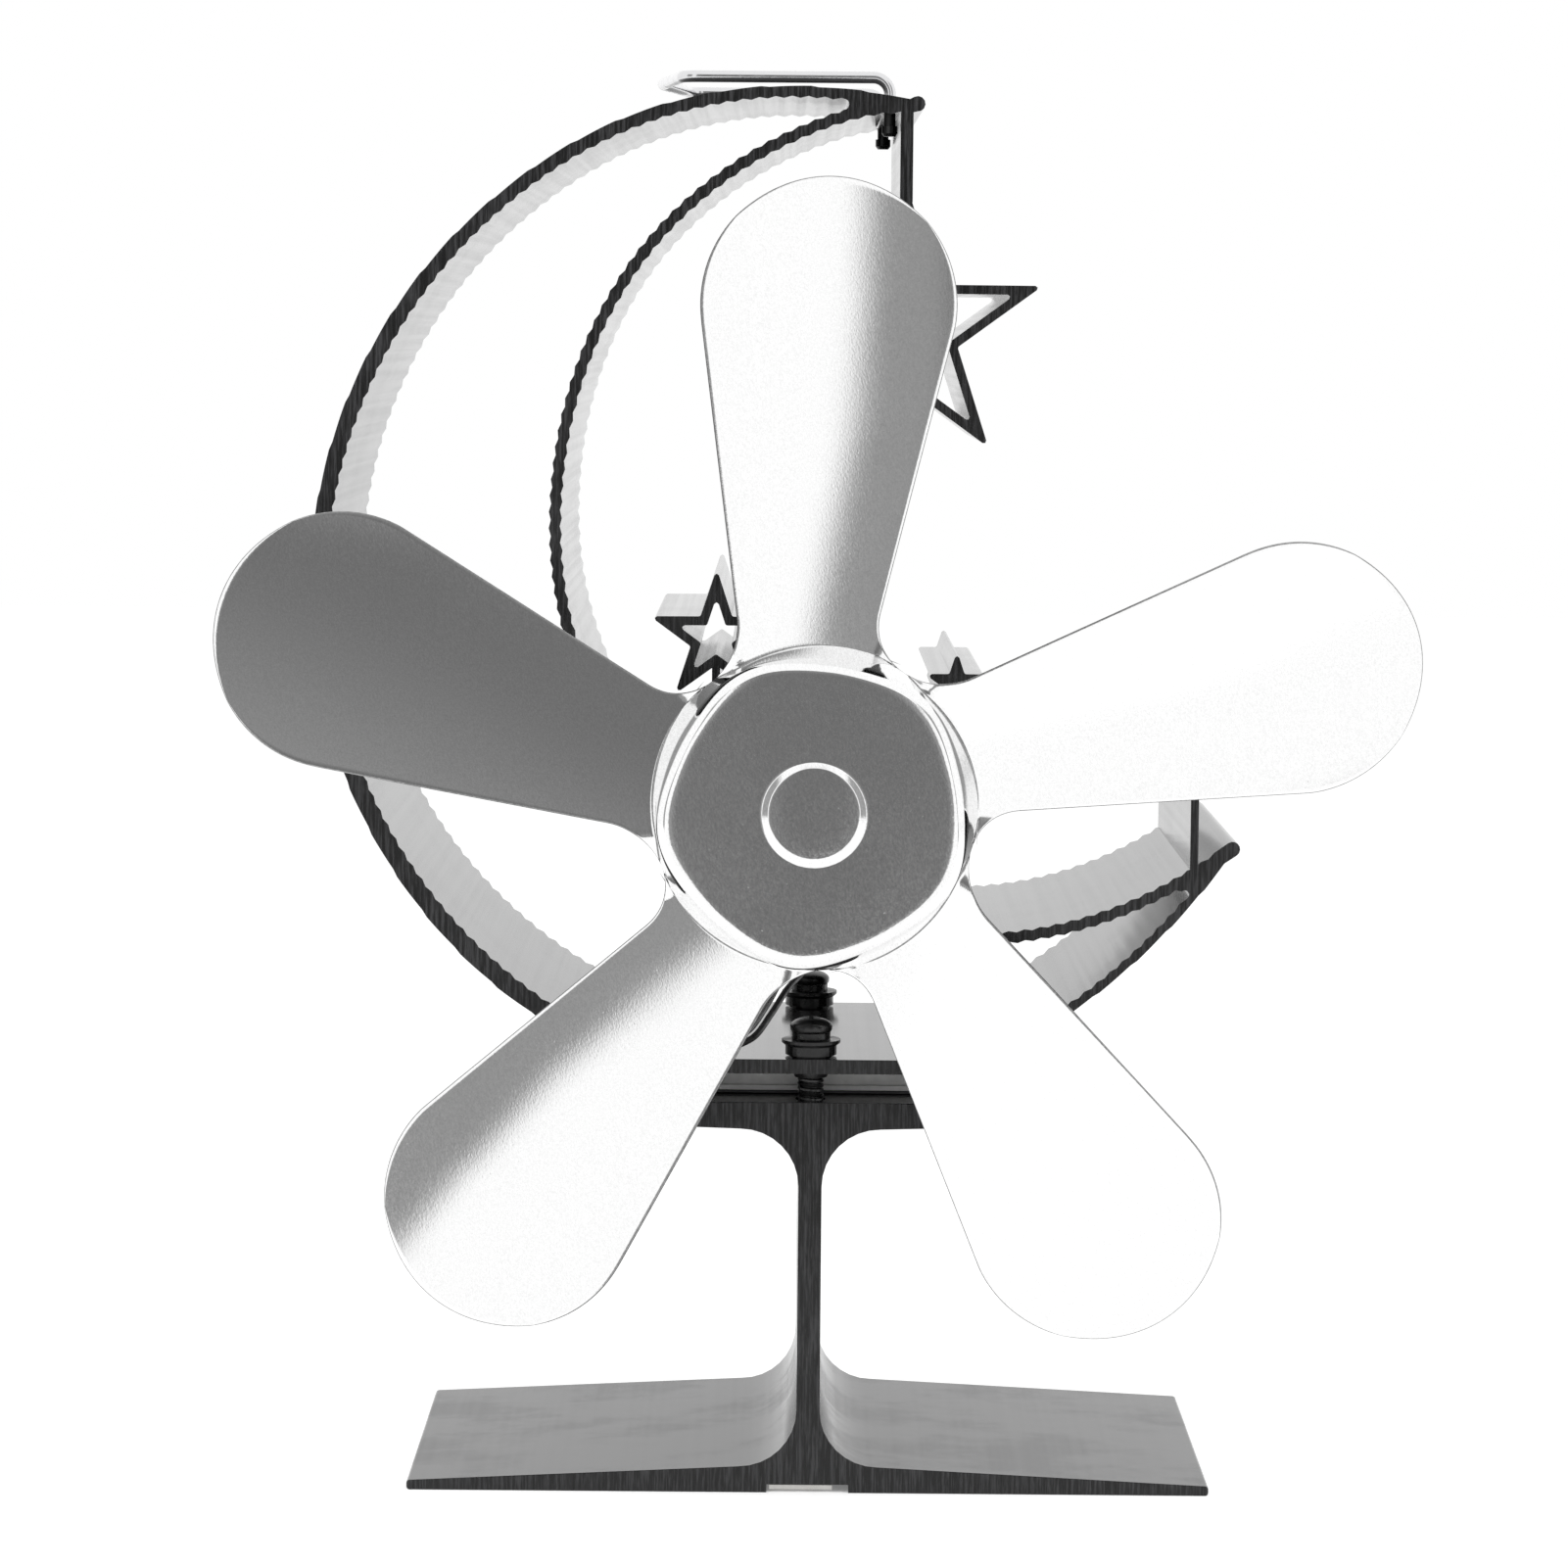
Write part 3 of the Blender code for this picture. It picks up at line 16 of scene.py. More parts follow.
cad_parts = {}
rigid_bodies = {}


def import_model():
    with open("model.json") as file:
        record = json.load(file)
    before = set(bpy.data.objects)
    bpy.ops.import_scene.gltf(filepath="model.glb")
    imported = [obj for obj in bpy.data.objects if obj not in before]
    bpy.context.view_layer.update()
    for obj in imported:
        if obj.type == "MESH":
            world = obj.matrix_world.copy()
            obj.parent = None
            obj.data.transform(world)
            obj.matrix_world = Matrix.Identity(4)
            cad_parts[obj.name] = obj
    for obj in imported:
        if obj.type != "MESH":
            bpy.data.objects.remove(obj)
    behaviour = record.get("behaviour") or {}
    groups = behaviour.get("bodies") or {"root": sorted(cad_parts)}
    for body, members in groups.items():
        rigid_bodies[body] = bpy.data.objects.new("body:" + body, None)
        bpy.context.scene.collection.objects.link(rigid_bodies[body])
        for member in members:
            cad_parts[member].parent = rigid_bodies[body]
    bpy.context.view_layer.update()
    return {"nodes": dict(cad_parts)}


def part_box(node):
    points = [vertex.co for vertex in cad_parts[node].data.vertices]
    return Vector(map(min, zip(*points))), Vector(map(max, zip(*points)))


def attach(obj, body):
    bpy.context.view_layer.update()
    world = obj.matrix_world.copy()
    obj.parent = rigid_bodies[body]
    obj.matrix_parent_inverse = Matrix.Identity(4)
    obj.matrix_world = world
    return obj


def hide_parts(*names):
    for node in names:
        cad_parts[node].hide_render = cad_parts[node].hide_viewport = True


bl_info = {
    "name": "Stove fan looks",
    "version": (1, 0, 0),
    "blender": (4, 5, 0),
    "location": "3D View > Sidebar > Stove fan",
    "description": "Builds the finishes, fine pieces and stage of a heat-powered stove fan",
    "category": "Object",
}

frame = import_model()
MM = 0.001
WELD = 0.002 * MM


# Places that the packed model gives

def corners(node):
    """The lowest and highest corner of one of the packed model's pieces."""
    low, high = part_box(node)
    return Vector(low), Vector(high)


def middle(node):
    """The middle of a piece's box."""
    low, high = corners(node)
    return (low + high) / 2


FAN_AXIS = middle("motor_shaft")
SINK_LOW, SINK_HIGH = corners("moon_heat_sink")
# The leads' routes and the camera's place count their depth from the heat sink's middle
DEPTH_SHIFT = (SINK_LOW.y + SINK_HIGH.y) / 2


# Sizes and colours that a user would change

def measure(name, description, millimetres):
    """A length's setting."""
    return FloatProperty(name=name, description=description, default=millimetres * MM, unit="LENGTH",
            precision=5)


def number(name, description, value, low=0.0, high=1000.0):
    """A plain number's setting."""
    return FloatProperty(name=name, description=description, default=value, min=low, max=high)


def paint(name, description, colour):
    """A colour's setting."""
    return FloatVectorProperty(name=name, description=description, subtype="COLOR", size=3, min=0, max=1,
            default=colour)


class RotorSettings(bpy.types.PropertyGroup):
    """The pressed rotor"""
    blade_count: IntProperty(name="Blades", description="How many blades the sheet has", default=5, min=3,
            max=8)
    sheet: measure("Sheet", "Thickness of the sheet", 0.6)
    face_radius: measure("Face radius", "Radius of the hub's face between its corners", 19.3)
    rim_radius: measure("Rim radius", "Radius of the hub where the blades start", 23.2)
    tip_centre: measure("Tip centre", "From the axis to the centre of a blade's tip", 71.3)
    tip_radius: measure("Tip radius", "Radius of a blade's round tip", 18.05)
    root_half: measure("Root half width", "Half the blade's width near the hub", 9.5)
    camber: measure("Camber radius", "Radius of the blade's hollow face", 140.0)
    pitch: number("Pitch", "Depth over width of each blade's set", 0.153)
    grain_angle: FloatProperty(name="Grain", description="Lean of the rolling grain from upright",
            default=radians(17), subtype="ANGLE")
    colour: paint("Metal", "Colour of the bright sheet", (0.95, 0.95, 0.95))


class ExtrusionSettings(bpy.types.PropertyGroup):
    """The heat sink and the foot"""
    edge_round: measure("Edge round", "Radius along the sawn edges", 0.12)
    colour: paint("Anodised colour", "Colour of the black coat", (0.022, 0.022, 0.023))
    streak_pitch: measure("Saw streaks", "Spacing of the streaks on the sawn ends", 0.42)
    roughness: number("Roughness", "Roughness of the drawn surfaces", 0.14, 0.0, 1.0)


class FittingSettings(bpy.types.PropertyGroup):
    """Screws, handle, leads and module"""
    thread_pitch: measure("Thread pitch", "Pitch of the clamping screws", 0.7)
    thread_radius: measure("Thread radius", "Outer radius of the clamping screws", 1.95)
    wire: measure("Handle wire", "Thickness of the handle's wire", 1.7)
    wire_bend: measure("Handle bends", "Radius of each bend in the handle", 2.4)
    handle_reach: measure("Handle reach", "From the legs to the handle's far corners", 29.6)
    lead: measure("Lead", "Thickness of each motor lead", 1.0)


class StageSettings(bpy.types.PropertyGroup):
    """Floor, light and camera"""
    world_light: number("Room light", "Level of the light from all round", 0.6)
    lamp_power: FloatProperty(name="Lamps", description="Power of each soft lamp", default=7.0, min=0,
            unit="POWER")
    lens: number("Lens", "Focal length on a 36 mm sensor", 109.69, 10.0)


# Meshes

def between(first, last, steps):
    """Values in equal steps from the first to the last, without the first."""
    return [first + (last - first) * k / steps for k in range(1, steps + 1)]


def tuned(thing, **settings):
    """Changes some settings of a thing."""
    for key, value in settings.items():
        setattr(thing, key, value)
    return thing


def placed(name, data):
    """An object for a mesh, curve, lamp or camera, at the origin."""
    thing = bpy.data.objects.new(name, data)
    bpy.context.scene.collection.objects.link(thing)
    return thing


def formed(name, shape):
    """An object from a worked shape."""
    return placed(name, written(shape, bpy.data.meshes.new(name)))


def cover(thing, material):
    """Gives an object one material."""
    thing.data.materials.clear()
    thing.data.materials.append(material)


def opened(mesh):
    """A mesh as a shape that can be worked on."""
    shape = bmesh.new()
    shape.from_mesh(mesh)
    return shape


def written(shape, mesh):
    """Writes a worked shape to a mesh."""
    shape.to_mesh(mesh)
    shape.free()
    return mesh


def modify(thing, name, kind, **settings):
    """Adds a modifier with its settings."""
    tuned(thing.modifiers.new(name, kind), **settings)


def shade(mesh, angle):
    """Shades a mesh smooth between corners sharper than an angle in degrees."""
    mesh.shade_smooth()
    mesh.set_sharp_from_angle(angle=radians(angle))


def applied(thing):
    """Turns an object and its modifiers into a plain mesh object of the same name."""
    graph = bpy.context.evaluated_depsgraph_get()
    mesh = bpy.data.meshes.new_from_object(thing.evaluated_get(graph))
    name = thing.name
    place = thing.matrix_world.copy()
    bpy.data.batch_remove([thing, thing.data])
    mesh.transform(place)
    mesh.name = name
    return placed(name, mesh)


def settle(thing, body, slot, *nodes):
    """Gives a finished piece its body and hides the packed pieces that it stands for. The slot is not used.
    """
    if not len(thing.data.vertices):
        raise RuntimeError(thing.name + " came out empty")
    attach(thing, body)
    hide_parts(*nodes)


def dress(material, *nodes):
    """Gives the packed model's own pieces a finish."""
    for node in nodes:
        cover(frame["nodes"][node], material)


def tube(name, points, radius, sides):
    """A round tube's mesh object along a list of points."""
    curve = tuned(bpy.data.curves.new(name, "CURVE"), dimensions="3D", bevel_depth=radius,
            bevel_resolution=sides // 4 - 1, use_fill_caps=True)
    spline = curve.splines.new("POLY")
    spline.points.add(len(points) - 1)
    for point, place in zip(spline.points, points):
        point.co = (*place, 1.0)
    return applied(placed(name, curve))


def bend(before, corner, after, radius, steps):
    """Points round a bend where two straight runs of wire meet."""
    back = (before - corner).normalized()
    ahead = (after - corner).normalized()
    half = back.angle(ahead) / 2
    reach = radius / tan(half)
    centre = corner + (back + ahead).normalized() * (radius / sin(half))
    first = corner + back * reach - centre
    axis = first.cross(corner + ahead * reach - centre).normalized()
    turn = pi - 2 * half
    return [centre + Matrix.Rotation(turn * k / steps, 3, axis) @ first for k in range(steps + 1)]


def curve_through(places, steps):
    """Points on a smooth curve through a list of places."""
    points = []
    for i in range(len(places) - 1):
        low, high = places[i], places[i + 1]
        slope_low = (high - places[max(i - 1, 0)]) / 2
        slope_high = (places[min(i + 2, len(places) - 1)] - low) / 2
        for k in range(steps):
            t = k / steps
            points.append(low * (2 * t ** 3 - 3 * t ** 2 + 1) + high * (3 * t ** 2 - 2 * t ** 3)
                    + slope_low * (t ** 3 - 2 * t ** 2 + t) + slope_high * (t ** 3 - t ** 2))
    return points + [places[-1]]


# Extrusions, which are sawn off square to Y

# The round ends of the moon's hollow: middle across and up, radius, and the way each points in degrees
HOLLOW_ENDS = ((3.45 * MM, 201.85 * MM, 0.78 * MM, -3.0), (53.95 * MM, 88.75 * MM, 0.62 * MM, 44.5))
END_NORMAL = 0.999
SIDE_NORMAL = 0.1
FLAT_SIDE_NORMAL = 0.05
SAME_PLACE = 0.01 * MM
ACROSS_DEPTH = 1 * MM


def merged_copy(node):
    """A welded copy of a packed piece's mesh, with its flat faces whole again."""
    shape = opened(frame["nodes"][node].data)
    bmesh.ops.remove_doubles(shape, verts=shape.verts, dist=WELD)
    bmesh.ops.dissolve_limit(shape, angle_limit=radians(0.1), verts=shape.verts, edges=shape.edges)
    return shape


def is_end(face):
    """Whether a face is part of a sawn end."""
    return abs(face.normal.y) > END_NORMAL


def is_rim(edge):
    """Whether an edge lies between a sawn end and a drawn side."""
    return len(edge.link_faces) == 2 and is_end(edge.link_faces[0]) != is_end(edge.link_faces[1])


def rim_run(shape, front, ahead_of):
    """The hollow's outline on the front end, from one side to the other, ahead of its new middle."""
    near = {}
    for edge in shape.edges:
        if is_rim(edge) and max(vert.co.y for vert in edge.verts) < front + SAME_PLACE:
            for vert in edge.verts:
                near.setdefault(vert, []).append(edge.other_vert(vert))
    start = min((vert for vert in near if ahead_of(vert)[0] > 0), key=lambda vert: ahead_of(vert)[1])
    run = [start]
    for grows in (True, False):
        while True:
            tip = run[-1] if grows else run[0]
            fresh = [vert for vert in near[tip] if vert not in run and ahead_of(vert)[0] > 0]
            if not fresh:
                break
            run.insert(len(run) if grows else 0, fresh[0])
    return run


def close_hollow(shape, across, up, radius, turn):
    """Gives the moon's hollow a round end, by moving the outline's places on both sawn ends."""
    shape.normal_update()
    centre = Vector((across, 0, up))
    ahead = Vector((cos(radians(turn)), 0, sin(radians(turn))))
    aside = Vector((-ahead.z, 0, ahead.x))

    def off(vert):
        return Vector((vert.co.x, 0, vert.co.z)) - centre

    front = min(vert.co.y for vert in shape.verts)
    run = rim_run(shape, front, lambda vert: (off(vert).dot(ahead), off(vert).length))
    if off(run[0]).dot(aside) < 0:
        run.reverse()
    for order, vert in enumerate(run):
        angle = pi / 2 - pi * order / (len(run) - 1)
        place = centre + (ahead * cos(angle) + aside * sin(angle)) * radius
        others = [edge.other_vert(vert) for edge in vert.link_edges]
        behind = [other for other in others if abs(other.co.y - front) > ACROSS_DEPTH
                and (other.co - vert.co).xz.length < SAME_PLACE]
        for end in [vert] + behind:
            end.co.x, end.co.z = place.x, place.z


def refill_ends(shape):
    """Fills the sawn ends anew after their outline has changed."""
    shape.normal_update()
    rims = [edge for edge in shape.edges if is_rim(edge)]
    bmesh.ops.delete(shape, geom=[face for face in shape.faces if is_end(face)], context="FACES_ONLY")
    bmesh.ops.delete(shape, geom=[edge for edge in shape.edges if not edge.link_faces], context="EDGES")
    rims = [edge for edge in rims if edge.is_valid]
    depth = sum(edge.verts[0].co.y for edge in rims) / len(rims)
    for side in (-1, 1):
        bmesh.ops.triangle_fill(shape, use_beauty=True, use_dissolve=True, normal=(0, side, 0),
                edges=[edge for edge in rims if (edge.verts[0].co.y - depth) * side > 0])
    bmesh.ops.recalc_face_normals(shape, faces=shape.faces)


def round_sawn_ends(shape, width):
    """Rounds the edges between the sawn ends and the drawn sides of an extrusion along Y."""
    shape.normal_update()
    rims = [edge for edge in shape.edges
            if is_rim(edge) and min(abs(face.normal.y) for face in edge.link_faces) < SIDE_NORMAL]
    bmesh.ops.bevel(shape, geom=rims, offset=width, segments=2, profile=0.5, affect="EDGES",
            clamp_overlap=True)


def part_sawn_ends(mesh):
    """Keeps the shading of the drawn sides apart from that of the rounded ends."""
    sides = {}
    for face in mesh.polygons:
        for edge in face.edge_keys:
            sides.setdefault(edge, []).append(abs(face.normal.y) < FLAT_SIDE_NORMAL)
    sharp = mesh.attributes["sharp_edge"].data
    for edge in mesh.edges:
        faces = sides.get(edge.key, [])
        if len(faces) == 2 and not all(faces):
            sharp[edge.index].value = True


# Nodes, for materials, the world and Geometry Nodes alike

class Nodes:
    """A node tree under construction."""

    def __init__(self, tree):
        self.tree = tree

    def put(self, source, target):
        """Links a node or one of its outputs to an input, or sets the input's value."""
        if isinstance(source, bpy.types.Node):
            source = source.outputs[0]
        if isinstance(source, bpy.types.NodeSocket):
            self.tree.links.new(source, target)
        else:
            target.default_value = source

    def node(self, kind, inputs=None, **settings):
        """A node with its settings, and its inputs by name or number."""
        node = tuned(self.tree.nodes.new(kind), **settings)
        for key, value in (inputs or {}).items():
            self.put(value, node.inputs[key])
        return node

    def math(self, operation, a, b=0.0, c=0.0):
        """A Math node's result."""
        return self.node("ShaderNodeMath", {0: a, 1: b, 2: c}, operation=operation).outputs[0]

    def times(self, first, *others):
        """A product."""
        for other in others:
            first = self.math("MULTIPLY", first, other)
        return first

    def plus(self, first, *others):
        """A sum."""
        for other in others:
            first = self.math("ADD", first, other)
        return first

    def weigh(self, share, inside, outside):
        """One value where the share is 1, and another where it's 0."""
        return self.plus(self.times(share, inside), self.times(self.math("SUBTRACT", 1.0, share), outside))

    def span(self, value, low, high, out_low=0.0, out_high=1.0, smooth=True):
        """Maps a value from one range to another, clamped."""
        return self.node("ShaderNodeMapRange", dict(enumerate((value, low, high, out_low, out_high))),
                interpolation_type="SMOOTHSTEP" if smooth else "LINEAR").outputs[0]

    def axes(self, vector):
        """A vector's three parts, by name."""
        return self.node("ShaderNodeSeparateXYZ", {0: vector}).outputs


class Finish(Nodes):
    """A Principled material under construction. Stretches are features per metre."""

    def __init__(self, name, colour, metallic=0.0):
        self.material = bpy.data.materials.new(name)
        self.material.use_nodes = True
        super().__init__(self.material.node_tree)
        self.shader = self.tree.nodes["Principled BSDF"]
        self.set("Base Color", (*colour, 1.0))
        self.set("Metallic", metallic)
        self.material.diffuse_color = (*colour, 1.0)

    def set(self, name, value):
        """Sets or links one of the shader's inputs."""
        self.put(value, self.shader.inputs[name])

    def place(self, stretch=(1, 1, 1), turn=(0, 0, 0), centre=(0, 0, 0)):
        """Object coordinates about a centre, turned and then stretched."""
        vector = self.node("ShaderNodeTexCoord").outputs["Object"]
        for name, value in (("Location", tuple(-part for part in centre)), ("Rotation", turn),
                ("Scale", stretch)):
            vector = self.node("ShaderNodeMapping", {"Vector": vector, name: value}).outputs[0]
        return vector

    def noise(self, stretch, detail, rough, turn=(0, 0, 0), centre=(0, 0, 0)):
        """Fractal noise from 0 to 1."""
        return self.node("ShaderNodeTexNoise", {"Vector": self.place(stretch, turn, centre), "Scale": 1.0,
                "Detail": detail, "Roughness": rough}).outputs[0]

    def blend(self, share, first, second):
        """Mixes two colours."""
        first, second = (value if isinstance(value, bpy.types.NodeSocket) else (*value, 1.0)
                for value in (first, second))
        return self.node("ShaderNodeMix", {0: share, 6: first, 7: second}, data_type="RGBA").outputs[2]

    def tone(self, share, first, second):
        """Sets the colour to a mix of two."""
        self.set("Base Color", self.blend(share, first, second))

    def bump(self, height, strength, distance):
        """Adds relief from a height."""
        normal = self.shader.inputs["Normal"]
        node = self.node("ShaderNodeBump", {"Strength": strength, "Distance": distance, "Height": height})
        if normal.is_linked:
            self.put(normal.links[0].from_socket, node.inputs["Normal"])
        self.put(node, normal)


# Materials

SAWN = (0.85, 0.97)
FINE_STREAK_PITCH = 0.18 * MM
STREAK_CONTRAST = (0.7, 1.0)
STREAK_ROUGHNESS = (0.26, 0.36)
STREAK_DARKEST, STREAK_LIGHTEST = 0.08, 1.5
CLOUD_STRETCH = (42, 70, 60)
CLOUD_DARKEST = 0.5
DRAWN_STRETCH = (900, 9, 900)
GRAIN_STRETCH = (3700, 300, 1900)
PEBBLE_STRETCH = (6400, 900, 4800)
PEBBLE_DARKEST = 0.84
SPECK_STRETCH = (520, 520, 520)
WIRE_COLOUR = (0.70, 0.70, 0.71)
WIRE_WEAR = (0.1, 0.26)
# The colour of the handle wire's dark leg ends, and the roughness they add
DARK_END_GREY = 0.016
DARK_END_ROUGHNESS = 0.2
WINDING_PITCH = 0.3 * MM


def even(value):
    """The same value along each axis, or in each colour."""
    return value, value, value


def dimmed(colour, share):
    """A colour times a number."""
    return tuple(value * share for value in colour)


def anodised_finish(name, cloudiness, index):
    """Black anodised aluminium: streaks on the sawn ends, and a satin, slightly cloudy sheen on the sides."""
    look = bpy.context.scene.stove_fan_extrusions
    coat = Finish(name, look.colour)
    normal = coat.node("ShaderNodeNewGeometry").outputs["True Normal"]
    sawn = coat.span(coat.math("ABSOLUTE", coat.axes(normal)["Y"]), *SAWN)
    streaks = coat.noise((1 / look.streak_pitch, 0, 110), 2.0, 0.6)
    fine = coat.noise((1 / FINE_STREAK_PITCH, 0, 400), 2.0, 0.7)
    clouds = coat.noise(CLOUD_STRETCH, 5.0, 0.65)
    drawn = coat.noise(DRAWN_STRETCH, 2.0, 0.5)
    sawn_colour = coat.blend(coat.span(coat.plus(streaks, coat.times(fine, 0.6)), *STREAK_CONTRAST),
            dimmed(look.colour, STREAK_DARKEST), dimmed(look.colour, STREAK_LIGHTEST))
    side_colour = coat.blend(coat.span(clouds, 0.35, 0.7), dimmed(look.colour, CLOUD_DARKEST),
            look.colour)
    coat.tone(sawn, side_colour, sawn_colour)
    side_rough = coat.plus(coat.span(clouds, 0.42, 0.64, look.roughness, look.roughness + cloudiness),
            coat.span(drawn, 0.3, 0.7, -0.015, 0.015))
    coat.set("Roughness", coat.weigh(sawn, coat.span(streaks, 0.3, 0.7, *STREAK_ROUGHNESS), side_rough))
    coat.bump(coat.times(streaks, sawn), 0.35, 0.05 * MM)
    coat.bump(coat.times(drawn, coat.math("SUBTRACT", 1.0, sawn)), 0.06, 0.02 * MM)
    coat.set("IOR", index)
    return coat.material


def brushed_finish():
    """Bright rolled sheet, with a fine grain that leans off the upright and small specks."""
    look = bpy.context.scene.stove_fan_rotor
    coat = Finish("brushed_aluminium_sheet", look.colour, 1.0)
    turn = (0, look.grain_angle, 0)
    grain = coat.noise(GRAIN_STRETCH, 2.0, 0.6, turn, FAN_AXIS)
    fine = coat.noise(PEBBLE_STRETCH, 2.0, 0.6, turn, FAN_AXIS)
    cloud = coat.noise(even(70), 3.0, 0.55)
    cells = coat.node("ShaderNodeTexVoronoi", {"Vector": coat.place(SPECK_STRETCH), "Scale": 1.0},
            feature="F1")
    specks = coat.span(cells.outputs["Distance"], 0.04, 0.09, 1.0, 0.0)
    coat.set("Roughness", coat.plus(coat.span(grain, 0.3, 0.7, 0.055, 0.085),
            coat.span(cloud, 0.35, 0.7, -0.008, 0.012)))
    pebble = coat.math("MULTIPLY_ADD", fine, 0.6, coat.times(grain, 0.4))
    coat.tone(coat.span(pebble, 0.36, 0.64, smooth=False), dimmed(look.colour, PEBBLE_DARKEST),
            look.colour)
    coat.bump(grain, 0.35, 0.012 * MM)
    coat.bump(fine, 0.35, 0.004 * MM)
    coat.bump(specks, 0.15, 0.012 * MM)
    return coat.material


def worn_finish(name, colour, metallic, noise, dark, light, spread, rough, strength, relief):
    """A finish whose colour and roughness follow one noise, with relief in millimetres."""
    coat = Finish(name, colour, metallic)
    drift = coat.noise(*noise)
    coat.tone(coat.span(drift, *spread), dark, light)
    coat.set("Roughness", coat.span(drift, 0.3, 0.7, *rough))
    coat.bump(drift, strength, relief * MM)
    return coat.material


def plain_finish(name, light, dark, rough, metallic, stretch, relief):
    """A finish whose colour and roughness drift a little over the surface."""
    return worn_finish(name, light, metallic, (even(stretch), 4.0, 0.6), dark, light, (0.35, 0.7),
            (rough * 0.85, min(1.0, rough * 1.2)), 0.3, relief)


def sheared_finish():
    """The duller edge left where the sheet was punched out."""
    return worn_finish("sheared_edge", even(0.34), 1.0, ((1500, 9000, 1500), 3.0, 0.6), even(0.22),
            even(0.42), (0.3, 0.7), (0.32, 0.5), 0.3, 0.02)


def blackened_finish():
    """Black oxide on screws and washers, a little worn."""
    return worn_finish("blackened_steel", even(0.012), 0.0, (even(900), 4.0, 0.6), even(0.008),
            (0.022, 0.022, 0.021), (0.55, 0.8), (0.22, 0.4), 0.15, 0.02)


def bright_steel(name, colour):
    """Drawn or turned steel with faint lines, and the noise of its scuffs."""
    coat = Finish(name, colour, 1.0)
    scuffs = coat.noise(even(500), 4.0, 0.65)
    coat.bump(coat.noise((300, 2600, 2600), 2.0, 0.5), 0.12, 0.01 * MM)
    return coat, scuffs


def turned_steel_finish():
    """Turned steel with faint wear."""
    coat, scuffs = bright_steel("turned_steel", (0.66, 0.66, 0.67))
    coat.set("Roughness", coat.span(scuffs, 0.3, 0.75, 0.14, 0.38))
    return coat.material


def dark_ended_wire_finish(height):
    """Polished wire whose leg ends are dark grey, rougher and not metal up to a height."""
    coat, scuffs = bright_steel("dipped_wire", WIRE_COLOUR)
    # Below the height the wire turns dark grey, rougher and not metal
    above_dark_end = coat.span(coat.axes(coat.place())["Z"], height - 0.1 * MM, height + 0.1 * MM)
    coat.tone(above_dark_end, even(DARK_END_GREY), WIRE_COLOUR)
    coat.set("Metallic", above_dark_end)
    coat.set("Roughness", coat.plus(
        coat.span(scuffs, 0.3, 0.75, *WIRE_WEAR),
        coat.times(coat.math("SUBTRACT", 1.0, above_dark_end), DARK_END_ROUGHNESS)))
    return coat.material


def resin_finish():
    """Black moulded resin with a fine moulded skin."""
    coat = Finish("black_moulded_resin", even(0.009))
    skin = coat.noise(even(2600), 3.0, 0.6)
    smudge = coat.noise(even(240), 3.0, 0.5)
    coat.set("Roughness", coat.span(smudge, 0.35, 0.7, 0.24, 0.42))
    coat.bump(skin, 0.2, 0.03 * MM)
    return coat.material


def winding_finish():
    """Enamelled copper wire wound close, with painted shade in the grooves between the turns and a painted
    highlight on their crowns.
    """
    coat = Finish("copper_winding", (0.60, 0.27, 0.13), 1.0)
    coat.set("Roughness", 0.35)
    along = coat.axes(coat.place(centre=FAN_AXIS))["Y"]
    turn_height_and_groove_shade = coat.math("SINE", coat.times(along, 2 * pi / WINDING_PITCH))
    # Painted shade in the grooves between the turns and a painted highlight on their crowns, from the same
    # wave as the bump
    coat.tone(coat.span(turn_height_and_groove_shade, -1, 1), (0.33, 0.13, 0.06), (0.64, 0.30, 0.15))
    coat.bump(turn_height_and_groove_shade, 0.5, 0.06 * MM)
    return coat.material


# Geometry Nodes trees

class GeometryTree(Nodes):
    """A Geometry Nodes group with named inputs."""

    def __init__(self, name, **sockets):
        super().__init__(bpy.data.node_groups.new(name, "GeometryNodeTree"))
        add = self.tree.interface.new_socket
        add("Geometry", in_out="OUTPUT", socket_type="NodeSocketGeometry")
        for label, kind in {"Geometry": "Geometry", **sockets}.items():
            add(label, in_out="INPUT", socket_type="NodeSocket" + kind)
        self.given = self.node("NodeGroupInput").outputs

    def result(self, shape):
        """Makes the shape the tree's result and returns the group."""
        self.node("NodeGroupOutput", {"Geometry": shape})
        return self.tree


def grow(thing, tree, **values):
    """Runs a geometry tree on an object and returns the plain result."""
    modifier = thing.modifiers.new(tree.name, "NODES")
    modifier.node_group = tree
    for item in tree.interface.items_tree:
        if item.item_type == "SOCKET" and item.in_out == "INPUT" and item.name in values:
            modifier[item.identifier] = values[item.name]
    return applied(thing)


def ring_tree():
    """Repeats a mesh round the Y axis and welds the copies where they meet."""
    tree = GeometryTree("repeat_round_axis", Count="Int", Weld="Float")
    points = tree.node("GeometryNodePoints", {"Count": tree.given["Count"]})
    step = tree.math("DIVIDE", 2 * pi, tree.given["Count"])
    turn = tree.times(tree.node("GeometryNodeInputIndex").outputs[0], step)
    copies = tree.node("GeometryNodeInstanceOnPoints", {
        "Points": points, "Instance": tree.given["Geometry"],
        "Rotation": tree.node("ShaderNodeCombineXYZ", {"Y": turn})})
    solid = tree.node("GeometryNodeRealizeInstances", {0: copies})
    return tree.result(tree.node("GeometryNodeMergeByDistance",
            {"Geometry": solid, "Distance": tree.given["Weld"]}))


HELIX_STEPS = 28
CREST_SIDES = 6
CREST_SHARE = 0.42


